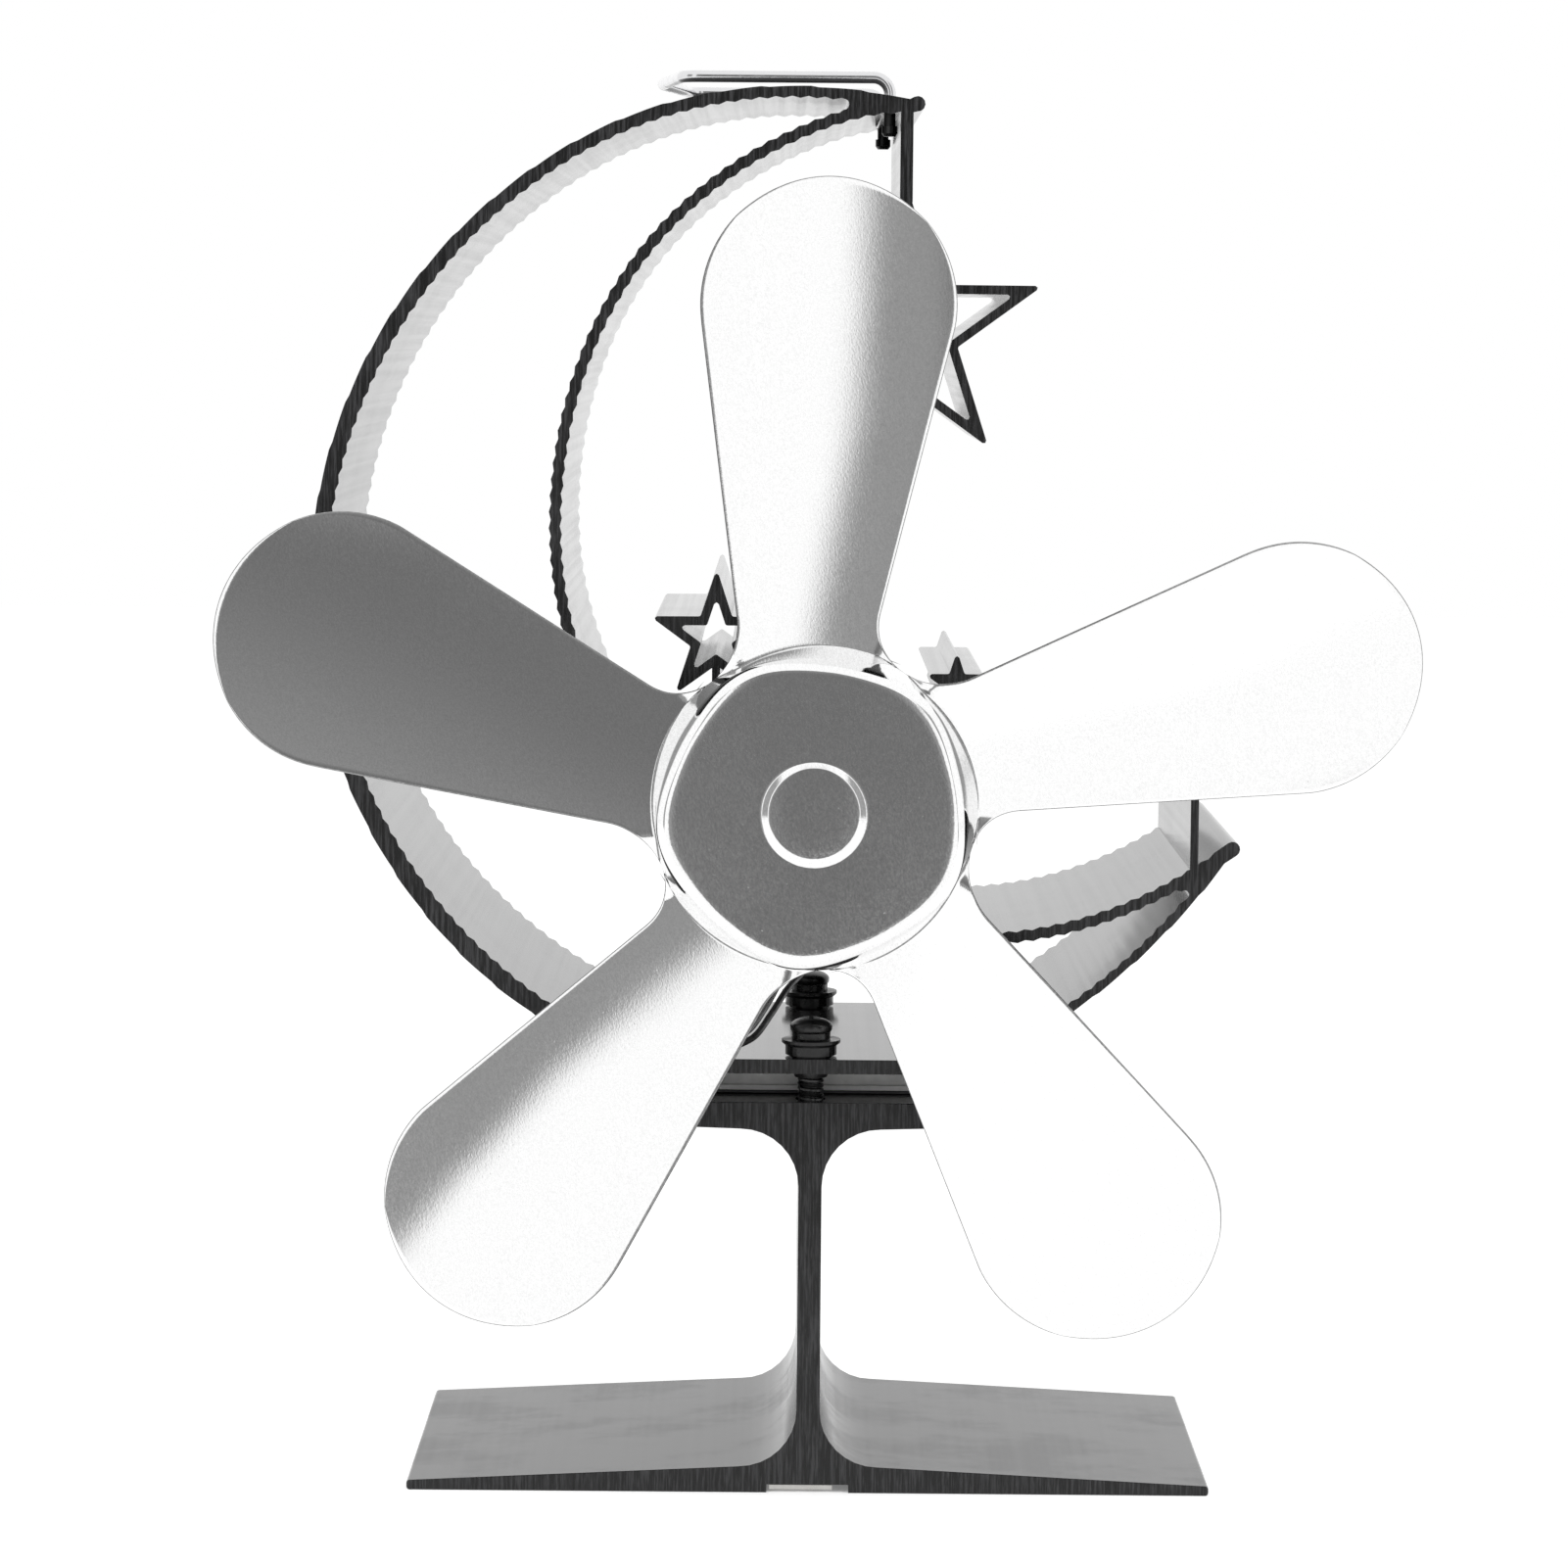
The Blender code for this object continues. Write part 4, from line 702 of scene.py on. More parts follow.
def thread_tree():
    """A screw thread round the Z axis: a helix swept by a small section, with its core."""
    tree = GeometryTree("screw_thread", Pitch="Float", Radius="Float", Length="Float")
    crest = tree.times(tree.given["Pitch"], CREST_SHARE)
    track = tree.math("SUBTRACT", tree.given["Radius"], crest)
    helix = tree.node("GeometryNodeCurveSpiral", {
        "Resolution": HELIX_STEPS, "Start Radius": track, "End Radius": track,
        "Rotations": tree.math("DIVIDE", tree.given["Length"], tree.given["Pitch"]),
        "Height": tree.given["Length"]})
    section = tree.node("GeometryNodeCurvePrimitiveCircle", {"Resolution": CREST_SIDES, "Radius": crest})
    sweep = tree.node("GeometryNodeCurveToMesh", {"Curve": helix, "Profile Curve": section,
            "Fill Caps": True})
    both = tree.node("GeometryNodeJoinGeometry", {0: sweep})
    tree.put(tree.given["Geometry"], both.inputs[0])
    return tree.result(tree.node("GeometryNodeRealizeInstances", {0: both}))


# The rotor's shape

CORNER_RISE = 0.8 * MM
WALL_CORNER_RISE = 1.2 * MM
FACE_CORNER_SHARE = 0.85
FACE_RING_SHARE = 0.97
CORNER_SHIFT = 0.17
CORNER_SOFTNESS = 1.4
# Each arc of the hub's edge: its radius, the slope it ends at and its steps
HUB_EDGE_ARCS = ((3.2 * MM, radians(14.5), 4), (0.06 * MM, radians(36), 1), (5.0 * MM, radians(52), 4))
HUB_DEPTH = 8.25 * MM
WALL_DRAFT = 0.28
WALL_ROWS = (0.3, 0.6, 0.85, 0.95)
DISC_RADIUS = 6.5 * MM
DISC_SLOPE = 0.88 * MM
DISC_HEIGHT = 0.5 * MM
# Rings on and round the raised disc: share of its radius, or of its foot's radius, and of its height
DISC_RINGS = ((0.5, 1.0), (0.96, 1.0), (0.99, 0.985), (1.01, 0.93))
FOOT_RINGS = ((0.985, 0.06), (1.0, 0.0), (1.04, 0.0))
ROOT_RADIUS = 24.0 * MM
BLADE_LEAN = 1.85 * MM
BLADE_TURN = radians(1.3)
ROOT_ROWS, EDGE_ROWS, TIP_ROWS = 14, 14, 20
ROOT_MIDDLE_SHARE = 0.9
TIP_MIDDLE_SHARE = 0.12
TIP_END_ANGLE = radians(48)
TWIST_SHARE = 0.35
PITCH_EASE = 0.15
EASE_RADIUS = 55.0 * MM
COLUMNS = 44
SEAM = 0.01 * MM
ROLLED_SHARE = 0.2


def held(value):
    """A value kept between 0 and 1."""
    return min(max(value, 0.0), 1.0)


def blade_slope(look):
    """How fast a blade's straight edge spreads from its root to its round tip."""
    reach = look.tip_centre - ROOT_RADIUS
    a = reach ** 2 - look.tip_radius ** 2
    b = look.root_half * reach
    c = look.root_half ** 2 - look.tip_radius ** 2
    return (sqrt(b ** 2 - a * c) - b) / a


def lean(look, radius):
    """How far round a place is turned, so that each blade leans off its radius."""
    radius = min(max(radius, look.rim_radius), look.tip_centre)
    return BLADE_LEAN * (look.tip_centre - radius) / (look.tip_centre - look.rim_radius) / radius


def blade_outline(look):
    """Rows up one blade: the end's place along and across it, and the middle's place along it."""
    half_share = pi / look.blade_count
    slope = blade_slope(look)
    length = sqrt(1 + slope ** 2)
    start_half = look.root_half - slope * ROOT_RADIUS
    bend_distance = ((look.rim_radius * length - start_half)
            / (length - sin(half_share) + slope * cos(half_share)))
    bend_radius = bend_distance - look.rim_radius
    bend_along, bend_across = bend_distance * cos(half_share), bend_distance * sin(half_share)
    start = half_share + pi
    end = -pi / 2 + atan2(slope, 1) + 2 * pi
    rows = []
    for angle in [start] + between(start, end, ROOT_ROWS):
        along = bend_along + bend_radius * cos(angle)
        rows.append((along, bend_across + bend_radius * sin(angle),
                look.rim_radius + (along - look.rim_radius * cos(half_share)) * ROOT_MIDDLE_SHARE))
    first_along, _, first_middle = rows[-1]
    tip_angle = pi / 2 + atan2(slope, 1)
    last_along = look.tip_centre + look.tip_radius * cos(tip_angle)
    last_middle = last_along + look.tip_radius * TIP_MIDDLE_SHARE
    for along, middle_along in zip(between(first_along, last_along, EDGE_ROWS),
            between(first_middle, last_middle, EDGE_ROWS)):
        rows.append((along, start_half + slope * along, middle_along))
    tip = look.tip_centre + look.tip_radius
    for angle, middle_along in zip(between(tip_angle, TIP_END_ANGLE, TIP_ROWS),
            between(last_middle, tip, TIP_ROWS)):
        rows.append((look.tip_centre + look.tip_radius * cos(angle), look.tip_radius * sin(angle),
                middle_along))
    return rows


def blade_depth(look, along, across):
    """The blade's depth behind its plane, pitched and hollow."""
    half_share = pi / look.blade_count
    fade = held((half_share - abs(atan2(across, along))) / (half_share * TWIST_SHARE))
    fade = fade * fade * (3 - 2 * fade)
    ease = 1 - PITCH_EASE * held((EASE_RADIUS - along) / (EASE_RADIUS - ROOT_RADIUS))
    return fade * (look.pitch * ease * across - across * across / (2 * look.camber))


def hub_rings(look):
    """Rings from the hub's middle to its wall: radius, rise of the corners and depth."""
    foot = DISC_RADIUS + DISC_SLOPE
    rings = [(radius * share, 0.0, -DISC_HEIGHT * height)
            for radius, table in ((DISC_RADIUS, DISC_RINGS), (foot, FOOT_RINGS))
            for share, height in table]
    rings.append(((foot + look.face_radius) / 2, 0.0, 0.0))
    rings.append((look.face_radius * FACE_RING_SHARE, CORNER_RISE * FACE_CORNER_SHARE, 0.0))
    profile = [(0.0, 0.0)]
    turned = 0.0
    for radius, turn, steps in HUB_EDGE_ARCS:
        across, down = profile[-1]
        for angle in between(turned, turn, steps):
            profile.append((across + radius * (sin(angle) - sin(turned)),
                    down + radius * (cos(turned) - cos(angle))))
        turned = turn
    for k, (across, down) in enumerate(profile):
        rise = CORNER_RISE + (WALL_CORNER_RISE - CORNER_RISE) * k / (len(profile) - 1)
        rings.append((look.face_radius + across, rise, down))
    return rings


def sector_shape(look):
    """One blade with its share of the hub, about the Y axis, pointing up."""
    half_share = pi / look.blade_count
    shape = bmesh.new()
    hub = shape.verts.new((0, -DISC_HEIGHT, 0))
    grid = []
    for middle_radius, rise, depth in hub_rings(look):
        ring = []
        for i in range(COLUMNS + 1):
            angle = (i / COLUMNS - 0.5) * 2 * half_share - lean(look, middle_radius)
            off_middle = abs(2 * ((i / COLUMNS - CORNER_SHIFT) % 1) - 1)
            radius = middle_radius + rise * sin(off_middle * pi / 2) ** (2 * CORNER_SOFTNESS)
            ring.append(shape.verts.new((radius * sin(angle), depth, radius * cos(angle))))
        grid.append(ring)
    blade = []
    for order, (end_along, end_across, middle_along) in enumerate(blade_outline(look)):
        row = []
        for i in range(COLUMNS + 1):
            swing = (2 * i / COLUMNS - 1) * half_share
            across = end_across * sin(swing) / sin(half_share)
            along = end_along + ((middle_along - end_along) * (cos(swing) - cos(half_share))
                    / (1 - cos(half_share)))
            depth = blade_depth(look, along, across)
            reach = sqrt(along * along + across * across)
            way = atan2(across, along) - lean(look, reach)
            if order == 0:
                reach += depth * WALL_DRAFT
            row.append(shape.verts.new((reach * sin(way), HUB_DEPTH + depth, reach * cos(way))))
        blade.append(row)
    wall_top = grid[-1]
    for share in WALL_ROWS:
        grid.append([shape.verts.new(top.co.lerp(foot.co, share)) for top, foot in zip(wall_top, blade[0])])
    rows = grid + blade
    for i in range(COLUMNS):
        shape.faces.new((hub, rows[0][i], rows[0][i + 1]))
        for near, far in zip(rows, rows[1:]):
            shape.faces.new((near[i], far[i], far[i + 1], near[i + 1]))
    return shape


class STOVEFAN_OT_rotor(bpy.types.Operator):
    """Makes the pressed rotor as one fine sheet, its blades repeated round the axis"""
    bl_idname = "stovefan.rotor"
    bl_label = "Make the rotor"

    def execute(self, context):
        look = context.scene.stove_fan_rotor
        sector = formed("pressed_rotor", sector_shape(look))
        cover(sector, brushed_finish())
        sheet = grow(sector, ring_tree(), Count=look.blade_count, Weld=SEAM)
        shape = opened(sheet.data)
        bmesh.ops.recalc_face_normals(shape, faces=shape.faces)
        centre_face = min(shape.faces, key=lambda face: face.calc_center_median().length)
        if centre_face.normal.y > 0:
            bmesh.ops.reverse_faces(shape, faces=shape.faces)
        written(shape, sheet.data)
        front = corners("fan_rotor")[0].y + DISC_HEIGHT
        sheet.data.transform(Matrix.Translation((0, front, FAN_AXIS.z)) @ Matrix.Rotation(BLADE_TURN, 4, "Y"))
        sheet.data.materials.append(sheared_finish())
        modify(sheet, "thickness", "SOLIDIFY", thickness=look.sheet, offset=-1, material_offset_rim=1)
        modify(sheet, "rolled_edge", "BEVEL", width=look.sheet * ROLLED_SHARE, segments=2, material=1,
               use_clamp_overlap=False, limit_method="ANGLE", angle_limit=radians(60))
        sheet = applied(sheet)
        shade(sheet.data, 50)
        settle(sheet, "rotor", "brushed_aluminium", "fan_rotor")
        return {"FINISHED"}


# Each extrusion's packed piece and name, the roughness its cloudy patches add and its coat's index
EXTRUSIONS = (("moon_heat_sink", "moon", 0.015, 1.47), ("base_foot", "foot", 0.11, 1.42))


class STOVEFAN_OT_extrusions(bpy.types.Operator):
    """Gives the heat sink and the foot rounded saw edges and their anodised finish"""
    bl_idname = "stovefan.extrusions"
    bl_label = "Finish the extrusions"

    def execute(self, context):
        look = context.scene.stove_fan_extrusions
        for node, name, cloudiness, index in EXTRUSIONS:
            shape = merged_copy(node)
            if node == "moon_heat_sink":
                for end in HOLLOW_ENDS:
                    close_hollow(shape, *end)
                refill_ends(shape)
            round_sawn_ends(shape, look.edge_round)
            piece = formed(name + "_extrusion", shape)
            cover(piece, anodised_finish(name + "_black_anodised", cloudiness, index))
            shade(piece.data, 32)
            part_sawn_ends(piece.data)
            settle(piece, "stand", "black_anodised", node)
        return {"FINISHED"}


# The clamping screws. A share is of the thread's pitch, of the core's radius or of the head

THREAD_DEPTH_SHARE = 0.62
CORE_END_SHARE = 0.85
CORE_SIDES = 32
CORE_GAP = 0.6 * MM
THREAD_GAP = 0.5 * MM
HEAD_GAP = 0.12 * MM
DOME_SHARE = 0.62
DOME_STEPS = 12
HEAD_FOOT = ((0.985, 0.12), (0.93, 0.0), (0.0, 0.0))
HEAD_SIDES = 48
RECESS = (3.4 * MM, 0.8 * MM, 2.4 * MM)
RECESS_TAPER = 0.62


class STOVEFAN_OT_screws(bpy.types.Operator):
    """Makes the two clamping screws with a true thread and a crossed recess"""
    bl_idname = "stovefan.screws"
    bl_label = "Make the clamping screws"

    def execute(self, context):
        look = context.scene.stove_fan_fittings
        finish = blackened_finish()
        tree = thread_tree()
        for end in ("front", "rear"):
            node = "clamp_screw_" + end
            low, high = corners(node)
            centre = middle(node)
            washer_top = corners("spring_washer_" + end)[1].z
            core_radius = look.thread_radius - look.thread_pitch * THREAD_DEPTH_SHARE
            length = washer_top - low.z - CORE_GAP
            core = bmesh.new()
            bmesh.ops.create_cone(core, cap_ends=True, segments=CORE_SIDES, depth=length,
                    radius1=core_radius * CORE_END_SHARE, radius2=core_radius,
                    matrix=Matrix.Translation((0, 0, length / 2)))
            thread = grow(formed(node + "_threaded", core), tree, Pitch=look.thread_pitch,
                    Radius=look.thread_radius, Length=length - THREAD_GAP)
            thread.data.transform(Matrix.Translation((centre.x, centre.y, low.z)))
            head = screw_head(centre, washer_top + HEAD_GAP, high.z, (high.x - low.x) / 2)
            joined = opened(thread.data)
            joined.from_mesh(head.data)
            written(joined, thread.data)
            bpy.data.objects.remove(head, do_unlink=True)
            cover(thread, finish)
            shade(thread.data, 40)
            settle(thread, "stand", "black_steel", node)
        dress(finish, "spring_washer_front", "spring_washer_rear", "motor_lock_screw")
        return {"FINISHED"}


def screw_head(centre, bottom, top, radius):
    """A domed head with a crossed recess."""
    dome = (top - bottom) * DOME_SHARE
    profile = [(0.0, top)]
    for angle in between(0, pi / 2, DOME_STEPS):
        profile.append((radius * sin(angle), top - dome + dome * cos(angle)))
    profile += [(radius * share, bottom + (top - bottom) * rise) for share, rise in HEAD_FOOT]
    mesh = bpy.data.meshes.new("screw_head")
    mesh.from_pydata([(r, 0.0, z) for r, z in profile], [(i, i + 1) for i in range(len(profile) - 1)], [])
    head = placed("screw_head", mesh)
    modify(head, "spin", "SCREW", steps=HEAD_SIDES, render_steps=HEAD_SIDES, use_merge_vertices=True,
           merge_threshold=WELD)
    head = applied(head)
    shape = opened(head.data)
    bmesh.ops.remove_doubles(shape, verts=shape.verts, dist=WELD)
    bmesh.ops.recalc_face_normals(shape, faces=shape.faces)
    written(shape, head.data)
    cutter = bmesh.new()
    for turn in (0, pi / 2):
        made = bmesh.ops.create_cube(cutter, size=1.0)["verts"]
        bmesh.ops.scale(cutter, verts=made, vec=RECESS)
        bmesh.ops.rotate(cutter, verts=made, cent=(0, 0, 0), matrix=Matrix.Rotation(turn, 3, "Z"))
        for vert in made:
            if vert.co.z < 0:
                vert.co.xy *= RECESS_TAPER
    cut = formed("recess", cutter)
    cut.location = (0, 0, top)
    modify(head, "recess", "BOOLEAN", operation="DIFFERENCE", object=cut, solver="EXACT", use_self=True)
    head = applied(head)
    bpy.data.objects.remove(cut, do_unlink=True)
    head.data.transform(Matrix.Translation((centre.x, centre.y, 0)))
    return head


# The handle, the module and the leads

HANDLE_POINT = 3.7 * MM
BEND_STEPS, POINT_STEPS = 20, 8
# How far above the caps' tops the handle wire's leg ends stay dark grey
DARK_END_HEIGHT = 3.2 * MM
WIRE_SIDES = 28
SEAL_OVERLAP = 0.06 * MM
SEAL_INSET = 0.5 * MM
SEAL_EDGE = 0.4 * MM
SEAL_CUTS = 9
LEAD_SIDES = 16
LEAD_STEPS = 10
LEAD_START = 0.3 * MM
# Routes in millimetres, with their depth counted from the heat sink's middle, and the end they share
LEAD_ROUTES = {
    "lead_left": ((-17.6, -24.0, 59.93), (-17.5, -28.8, 60.1), (-17.1, -31.6, 62.2), (-16.0, -32.3, 64.9),
        (-13.6, -31.2, 66.6), (-9.4, -26.0, 67.6), (-6.9, -16.0, 69.6), (-4.9, -6.0, 71.9),
        (-3.6, 2.0, 74.2), (-3.4, 12.0, 76.4), (-3.45, 22.0, 77.6), (-3.45, 28.2, 78.8)),
    "lead_right": ((-14.9, -24.0, 59.93), (-14.8, -28.8, 60.1), (-14.4, -31.6, 62.2), (-13.4, -32.3, 64.6),
        (-11.6, -31.2, 65.9), (-8.3, -26.0, 66.9), (-5.9, -16.0, 68.8), (-3.5, -6.0, 71.2),
        (-0.9, 3.0, 72.9), (1.6, 11.0, 74.9), (3.1, 18.0, 76.7), (3.45, 23.5, 77.9),
        (3.45, 28.2, 79.0)),
}
LEAD_END = ((31.3, 82.0), (31.6, 89.0), (31.6, 95.0), (30.3, 100.0), (26.0, 102.0), (14.0, 102.0),
        (0.0, 102.0), (-13.7, 102.0))
LEAD_SHADES = {"lead_left": (0.26, 0.20, "grey_insulation"),
        "lead_right": (0.030, 0.020, "black_insulation")}


class STOVEFAN_OT_handle(bpy.types.Operator):
    """Bends the handle from round wire"""
    bl_idname = "stovefan.handle"
    bl_label = "Make the handle"

    def execute(self, context):
        look = context.scene.stove_fan_fittings
        low, high = corners("handle_wire")
        r = look.wire / 2
        leg_x, top = high.x - r, high.z - r
        corner_x = leg_x - look.handle_reach
        front, back = low.y + r, high.y - r
        point = Vector((corner_x - HANDLE_POINT, (front + back) / 2, top))
        places = [Vector((leg_x, front, low.z)), Vector((leg_x, front, top)), Vector((corner_x, front, top)),
                point, Vector((corner_x, back, top)), Vector((leg_x, back, top)),
                Vector((leg_x, back, low.z))]
        points = [places[0]]
        for before, corner, after in zip(places, places[1:], places[2:]):
            points += bend(before, corner, after, look.wire_bend,
                    POINT_STEPS if corner == point else BEND_STEPS)
        points.append(places[-1])
        wire = tube("handle_bail", points, r, WIRE_SIDES)
        cover(wire, dark_ended_wire_finish(corners("handle_cap_front")[1].z + DARK_END_HEIGHT))
        shade(wire.data, 50)
        settle(wire, "handle", "bright_steel", "handle_wire")
        dress(resin_finish(), "handle_cap_front", "handle_cap_rear", "bushing_front", "bushing_rear",
              "motor_end_cap")
        return {"FINISHED"}


class STOVEFAN_OT_module(bpy.types.Operator):
    """Makes the seal round the module's pellets and finishes its ceramic plates and pads"""
    bl_idname = "stovefan.module"
    bl_label = "Make the module's seal"

    def execute(self, context):
        low, high = corners("pellet_core")
        plate_low, plate_high = corners("hot_ceramic")
        bottom, top = low.z - SEAL_OVERLAP, high.z + SEAL_OVERLAP
        shape = bmesh.new()
        size = (plate_high.x - plate_low.x - SEAL_INSET, plate_high.y - plate_low.y - SEAL_INSET,
                top - bottom)
        place = ((low.x + high.x) / 2, (low.y + high.y) / 2, (bottom + top) / 2)
        bmesh.ops.create_cube(shape, size=1.0, matrix=Matrix.LocRotScale(place, None, size))
        bmesh.ops.subdivide_edges(shape, edges=shape.edges, cuts=SEAL_CUTS, use_grid_fill=True)
        seal = formed("module_seal", shape)
        cover(seal, plain_finish("grey_silicone_seal", (0.80, 0.80, 0.79), (0.70, 0.70, 0.69), 0.55, 0.0,
                500, 0.05))
        modify(seal, "edge", "BEVEL", width=SEAL_EDGE, segments=3, limit_method="ANGLE")
        seal = applied(seal)
        shade(seal.data, 50)
        settle(seal, "stand", "grey_seal", "pellet_core")
        dress(plain_finish("white_alumina", (0.86, 0.86, 0.85), (0.78, 0.78, 0.77), 0.5, 0.0, 400, 0.02),
              "hot_ceramic", "cold_ceramic")
        dress(plain_finish("graphite_sheet", (0.075, 0.075, 0.078), (0.05, 0.05, 0.052), 0.55, 0.0, 700,
                0.02), "thermal_pad_lower", "thermal_pad_upper")
        return {"FINISHED"}


class STOVEFAN_OT_leads(bpy.types.Operator):
    """Lays the motor's two leads along their routes"""
    bl_idname = "stovefan.leads"
    bl_label = "Lay the leads"

    def execute(self, context):
        look = context.scene.stove_fan_fittings
        for node, route in LEAD_ROUTES.items():
            light, dark, slot = LEAD_SHADES[node]
            route += tuple((route[-1][0], *place) for place in LEAD_END)
            places = [Vector(place) * MM + Vector((0, DEPTH_SHIFT, 0)) for place in route]
            places.insert(0, Vector((places[0].x, corners("pellet_core")[0].y - LEAD_START, places[0].z)))
            line = curve_through(places, LEAD_STEPS)
            lead = tube(node + "_insulated", line, look.lead / 2, LEAD_SIDES)
            cover(lead, plain_finish(slot + "_silicone", even(light), even(dark), 0.38, 0.0, 700, 0.015))
            shade(lead.data, 60)
            settle(lead, "stand", slot, node)
            length = sum((after - before).length for before, after in zip(line, line[1:]))
            tuple(line[0])
            [tuple(place) for place in line]
        return {"FINISHED"}


# Finishes of the motor and the strip: name, light, dark, roughness, metal, features per metre, relief
# in millimetres and pieces
MOTOR_FINISHES = (
    ("zinc_plate", (0.56, 0.57, 0.58), (0.46, 0.47, 0.49), 0.3, 1.0, 260, 0.01, ("motor_can",)),
    ("magnet_ferrite", (0.10, 0.10, 0.105), (0.07, 0.07, 0.072), 0.6, 0.0, 900, 0.05,
     ("magnet_left", "magnet_right")),
    ("bearing_bronze", (0.66, 0.47, 0.24), (0.55, 0.38, 0.18), 0.35, 1.0, 500, 0.01,
     ("bearing_front", "bearing_rear")),
    ("contact_brass", (0.72, 0.57, 0.30), (0.62, 0.47, 0.22), 0.28, 1.0, 500, 0.01,
     ("terminal_left", "terminal_right", "commutator")),
    ("rolled_strip", (0.60, 0.59, 0.57), (0.50, 0.49, 0.47), 0.3, 1.0, 300, 0.01, ("bimetal_strip",)),
)


class STOVEFAN_OT_motor(bpy.types.Operator):
    """Finishes the motor, its bearings and the strip under the foot"""
    bl_idname = "stovefan.motor"
    bl_label = "Finish the motor and strip"

    def execute(self, context):
        for *values, nodes in MOTOR_FINISHES:
            dress(plain_finish(*values), *nodes)
        dress(turned_steel_finish(), "motor_shaft", "hub_boss", "strip_rivet")
        dress(winding_finish(), "armature")
        return {"FINISHED"}


# The stage, in metres

CAMERA_PLACE = Vector((-4.27 * MM, -717.7 * MM + DEPTH_SHIFT, 169.2 * MM))
CAMERA_DOWN, CAMERA_ROLL = 5.385, 0.477
FLOOR_FRONT, FLOOR_BACK, FLOOR_SIDE = -0.33, 2.2, 1.6
FLOOR_GREY = 0.93
FLOOR_GLOW = 1.16
FLOOR_SHADE_REACH = 9 * MM
FLOOR_OPEN = (0.0, 0.9, 0.15, 0.72)
LAMP_AIM = Vector((0, 0, 0.1))
# Each lamp's place, size and share of the power
LAMPS = (("left_softbox", (-0.75, -0.65, 0.75), 0.7, 1.0), ("right_softbox", (0.8, -0.55, 0.6), 0.7, 0.8),
        ("top_softbox", (0.0, 0.25, 1.1), 0.9, 0.9))

# What metal mirrors: a dim wall with a darker core, and a grey screen on either side. Each row bounds a
# zone: what is measured, in degrees aside or up, the two ends of the change, and the share at each
WALL = (("aside", 12.2, 16.7, 1.0, 0.0), ("left_edge", -13.2, -10.2, 0.0, 1.0),
        ("rise", 27.0, 42.0, 1.0, 0.0), ("low_edge", -10.5, -9.0, 0.0, 1.0))
SCREENS = (("off_middle", 32.0, 37.0, 0.0, 1.0), ("off_middle", 59.0, 65.0, 1.0, 0.0),
        ("rise", 26.0, 36.0, 1.0, 0.0), ("rise", -10.0, -6.0, 0.0, 1.0))
CORE = (("core_share", 0.5, 1.6, 1.0, 0.0),)
CORE_MIDDLE, CORE_WIDTH, CORE_SPREAD = 0.5, 4.5, 0.35
LOWEST = -5.0
LEFT_LEAN, FOOT_LEAN = -0.31, -0.3
CORE_LEVEL = (5.0, 32.0, 0.175, 0.30)
WALL_LEVEL, OPEN_LEVEL, SCREEN_LEVEL = 0.32, 1.13, -0.75


class STOVEFAN_OT_stage(bpy.types.Operator):
    """Sets the pale floor, the soft light and the camera"""
    bl_idname = "stovefan.stage"
    bl_label = "Set the stage"

    def execute(self, context):
        look = context.scene.stove_fan_stage
        context.scene.view_settings.view_transform = "Standard"
        make_floor()
        make_world(look)
        make_lamps(look)
        eye = placed("front_camera", tuned(bpy.data.cameras.new("front_camera"), lens=look.lens,
                sensor_width=36, sensor_fit="HORIZONTAL"))
        eye.matrix_world = (Matrix.Translation(CAMERA_PLACE)
                @ Matrix.Rotation(radians(90 - CAMERA_DOWN), 4, "X")
                @ Matrix.Rotation(radians(CAMERA_ROLL), 4, "Z"))
        context.scene.camera = eye
        return {"FINISHED"}


def make_floor():
    """A white sheet that stops short of the camera, and shows white where nothing shades it."""
    mesh = bpy.data.meshes.new("paper_floor")
    mesh.from_pydata([(-FLOOR_SIDE, FLOOR_FRONT, 0), (FLOOR_SIDE, FLOOR_FRONT, 0),
            (FLOOR_SIDE, FLOOR_BACK, 0), (-FLOOR_SIDE, FLOOR_BACK, 0)], [], [(0, 1, 2, 3)])
    coat = Finish("white_paper", even(FLOOR_GREY))
    coat.set("Roughness", 0.9)
    rays = coat.node("ShaderNodeLightPath").outputs
    seen = coat.math("MAXIMUM", rays["Is Camera Ray"],
            coat.math("MAXIMUM", rays["Is Glossy Ray"], rays["Is Transmission Ray"]))
    shading = coat.node("ShaderNodeAmbientOcclusion", {"Distance": FLOOR_SHADE_REACH}, samples=8)
    open_sky = coat.span(shading.outputs["AO"], *FLOOR_OPEN)
    glow = coat.node("ShaderNodeEmission", {"Strength": FLOOR_GLOW})
    mix = coat.node("ShaderNodeMixShader", {0: coat.times(seen, open_sky), 1: coat.shader, 2: glow})
    coat.put(mix, coat.tree.nodes["Material Output"].inputs["Surface"])
    floor = placed("paper_floor", mesh)
    cover(floor, coat.material)


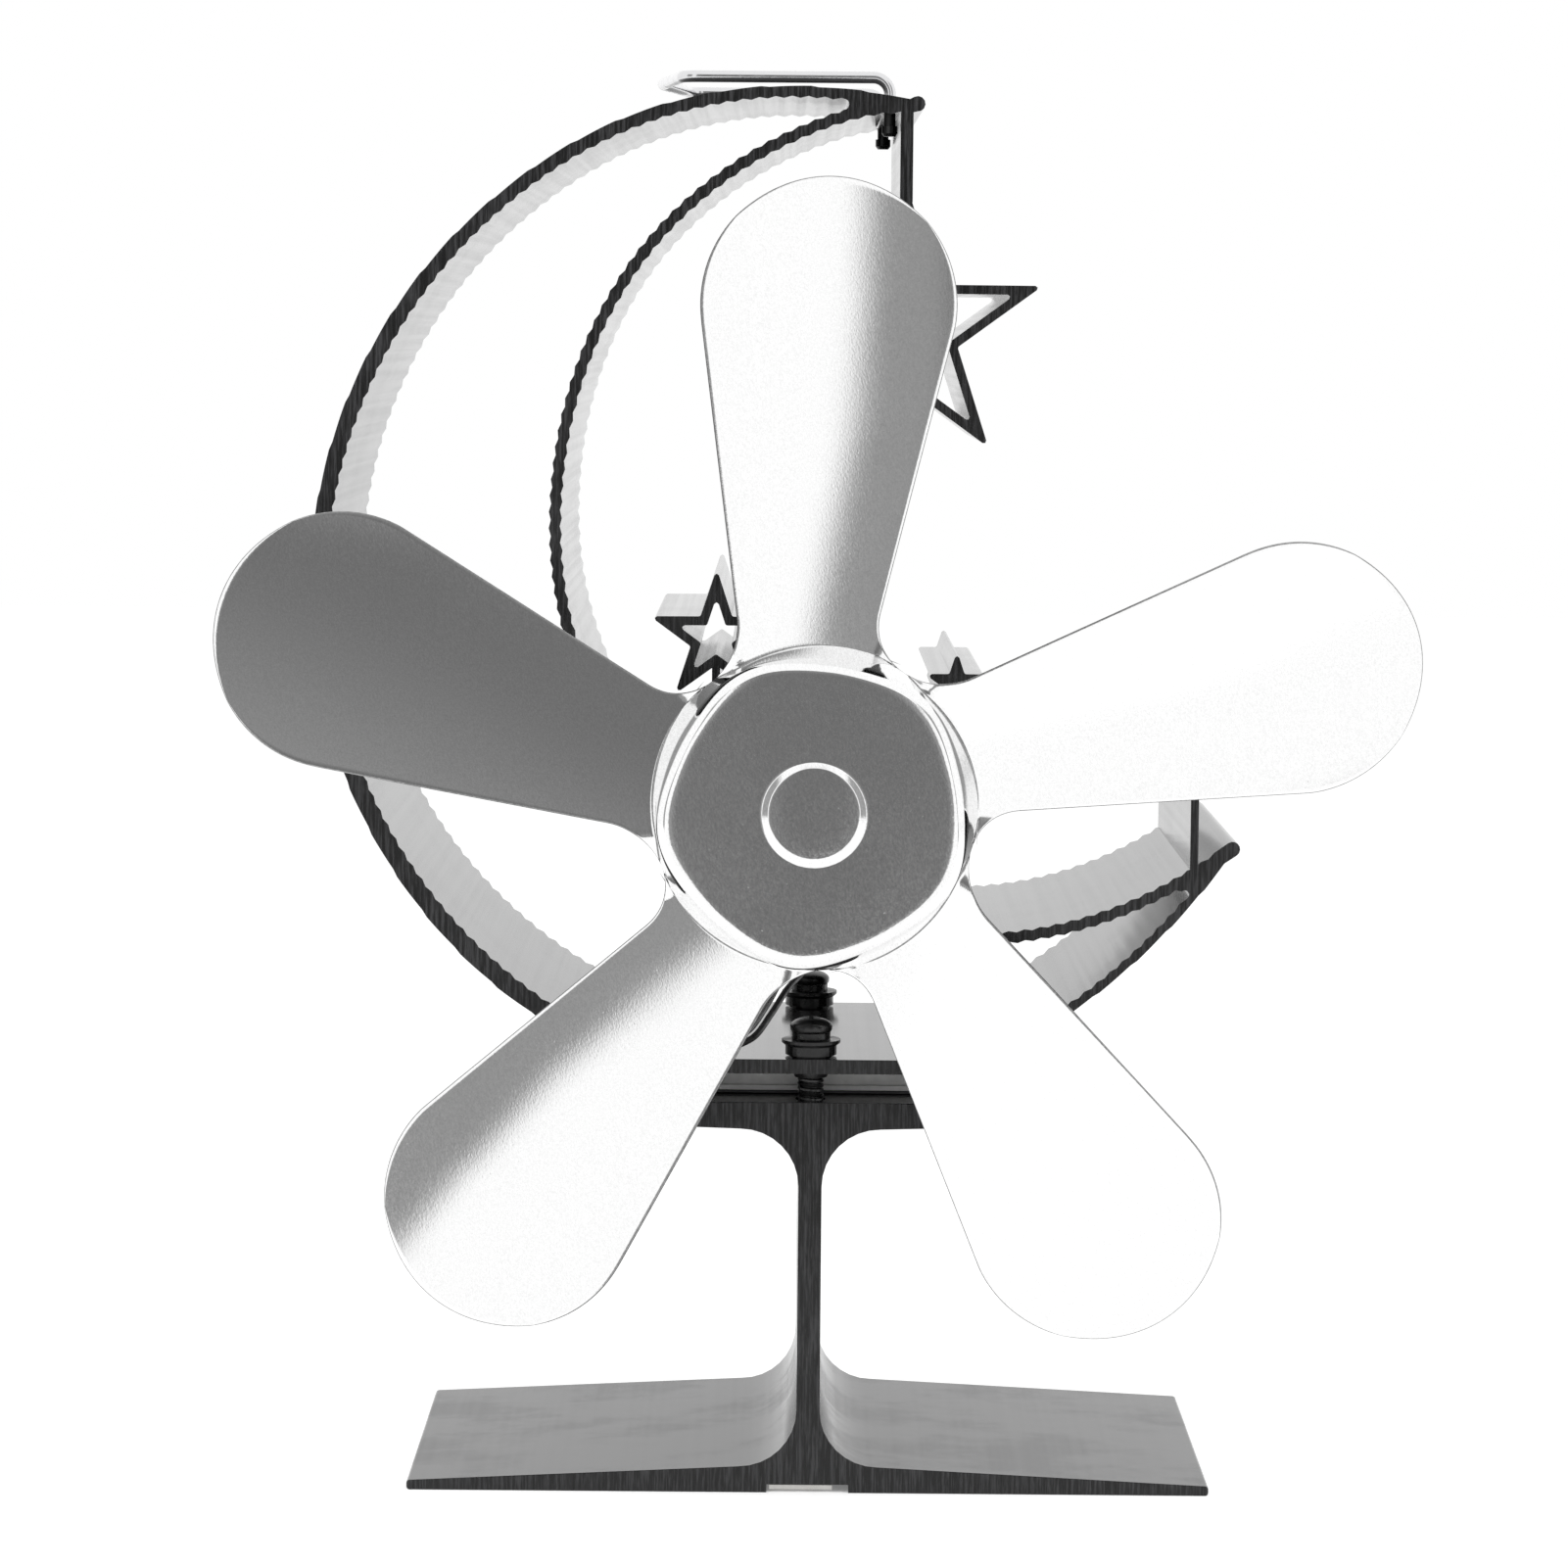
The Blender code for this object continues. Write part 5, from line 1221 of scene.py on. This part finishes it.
def make_world(look):
    """White all round, but for the dim side of the room behind the camera, which only metal shows."""
    world = bpy.data.worlds.new("white_studio")
    bpy.context.scene.world = world
    world.use_nodes = True
    world.node_tree.nodes.clear()
    studio = Nodes(world.node_tree)
    math = studio.math
    way = studio.axes(studio.node("ShaderNodeTexCoord").outputs["Generated"])
    aside = studio.times(math("ARCTAN2", way["X"], studio.times(way["Y"], -1.0)), 180 / pi)
    rise = studio.times(math("ARCSINE", way["Z"]), 180 / pi)
    fall = math("MAXIMUM", math("MINIMUM", rise, 0.0), LOWEST)
    half = math("MULTIPLY_ADD", math("MAXIMUM", rise, LOWEST), CORE_SPREAD, CORE_WIDTH)
    off_core = math("ABSOLUTE", math("SUBTRACT", aside, CORE_MIDDLE))
    measured = {
        "aside": aside, "rise": rise, "off_middle": math("ABSOLUTE", aside),
        "left_edge": math("MULTIPLY_ADD", fall, LEFT_LEAN, aside),
        "low_edge": math("MULTIPLY_ADD", math("MAXIMUM", aside, 0.0), FOOT_LEAN, rise),
        "core_share": math("DIVIDE", off_core, half)}
    wall, screens, core = (studio.times(*(studio.span(measured[name], *limits) for name, *limits in zone))
            for zone in (WALL, SCREENS, CORE))
    wall_level = studio.weigh(core, studio.span(rise, *CORE_LEVEL), WALL_LEVEL)
    level = studio.weigh(wall, wall_level, math("MULTIPLY_ADD", screens, SCREEN_LEVEL, OPEN_LEVEL))
    rays = studio.node("ShaderNodeLightPath").outputs
    seen = math("MAXIMUM", rays["Is Camera Ray"], rays["Is Transmission Ray"])
    glossy = rays["Is Glossy Ray"]
    diffuse = math("SUBTRACT", 1.0, math("MAXIMUM", seen, glossy))
    strength = studio.plus(seen, studio.times(glossy, level), studio.times(diffuse, look.world_light))
    back = studio.node("ShaderNodeBackground", {"Color": (1.0, 1.0, 1.0, 1.0), "Strength": strength})
    studio.node("ShaderNodeOutputWorld", {"Surface": back})


def make_lamps(look):
    """Two large soft lamps in front and one above, unseen by metal, which shows the room instead."""
    for name, place, size, share in LAMPS:
        lamp = tuned(bpy.data.lights.new(name, "AREA"), shape="SQUARE", size=size,
                energy=look.lamp_power * share)
        aim = (LAMP_AIM - Vector(place)).to_track_quat("-Z", "Y").to_euler()
        tuned(placed(name, lamp), location=place, rotation_euler=aim, visible_glossy=False,
                visible_camera=False)


class STOVEFAN_PT_sidebar(bpy.types.Panel):
    """Lists the fan's pieces and their settings"""
    bl_idname = "STOVEFAN_PT_sidebar"
    bl_label = "Stove fan"
    bl_space_type = "VIEW_3D"
    bl_region_type = "UI"
    bl_category = "Stove fan"

    def draw(self, context):
        for name, group, operators in SETTINGS:
            box = self.layout.box()
            box.label(text=group.__doc__)
            for key in group.__annotations__:
                box.prop(getattr(context.scene, name), key)
            for operator in operators:
                box.operator(operator.bl_idname)


# The groups of settings: name on the scene, class, and the operators that the panel lists under it
SETTINGS = (
    ("stove_fan_rotor", RotorSettings, (STOVEFAN_OT_rotor,)),
    ("stove_fan_extrusions", ExtrusionSettings, (STOVEFAN_OT_extrusions,)),
    ("stove_fan_fittings", FittingSettings, (STOVEFAN_OT_screws, STOVEFAN_OT_handle, STOVEFAN_OT_module,
        STOVEFAN_OT_leads, STOVEFAN_OT_motor)),
    ("stove_fan_stage", StageSettings, (STOVEFAN_OT_stage,)),
)


def register():
    """Adds the settings, operators and panel to Blender."""
    for name, group, operators in SETTINGS:
        for each in (group, *operators):
            bpy.utils.register_class(each)
        setattr(bpy.types.Scene, name, PointerProperty(type=group))
    bpy.utils.register_class(STOVEFAN_PT_sidebar)


def unregister():
    """Takes them out again."""
    bpy.utils.unregister_class(STOVEFAN_PT_sidebar)
    for name, group, operators in reversed(SETTINGS):
        delattr(bpy.types.Scene, name)
        for each in (*operators, group):
            bpy.utils.unregister_class(each)


def clear_start():
    """Removes what a new scene holds beside the packed model."""
    for thing in list(bpy.data.objects):
        if thing.type in {"CAMERA", "LIGHT"} or thing.name == "Cube":
            bpy.data.objects.remove(thing, do_unlink=True)


def main():
    """Runs every operator in order."""
    clear_start()
    register()
    bpy.ops.stovefan.extrusions()
    bpy.ops.stovefan.rotor()
    bpy.ops.stovefan.screws()
    bpy.ops.stovefan.handle()
    bpy.ops.stovefan.module()
    bpy.ops.stovefan.leads()
    bpy.ops.stovefan.motor()
    bpy.ops.stovefan.stage()


if __name__ == "__main__":
    main()
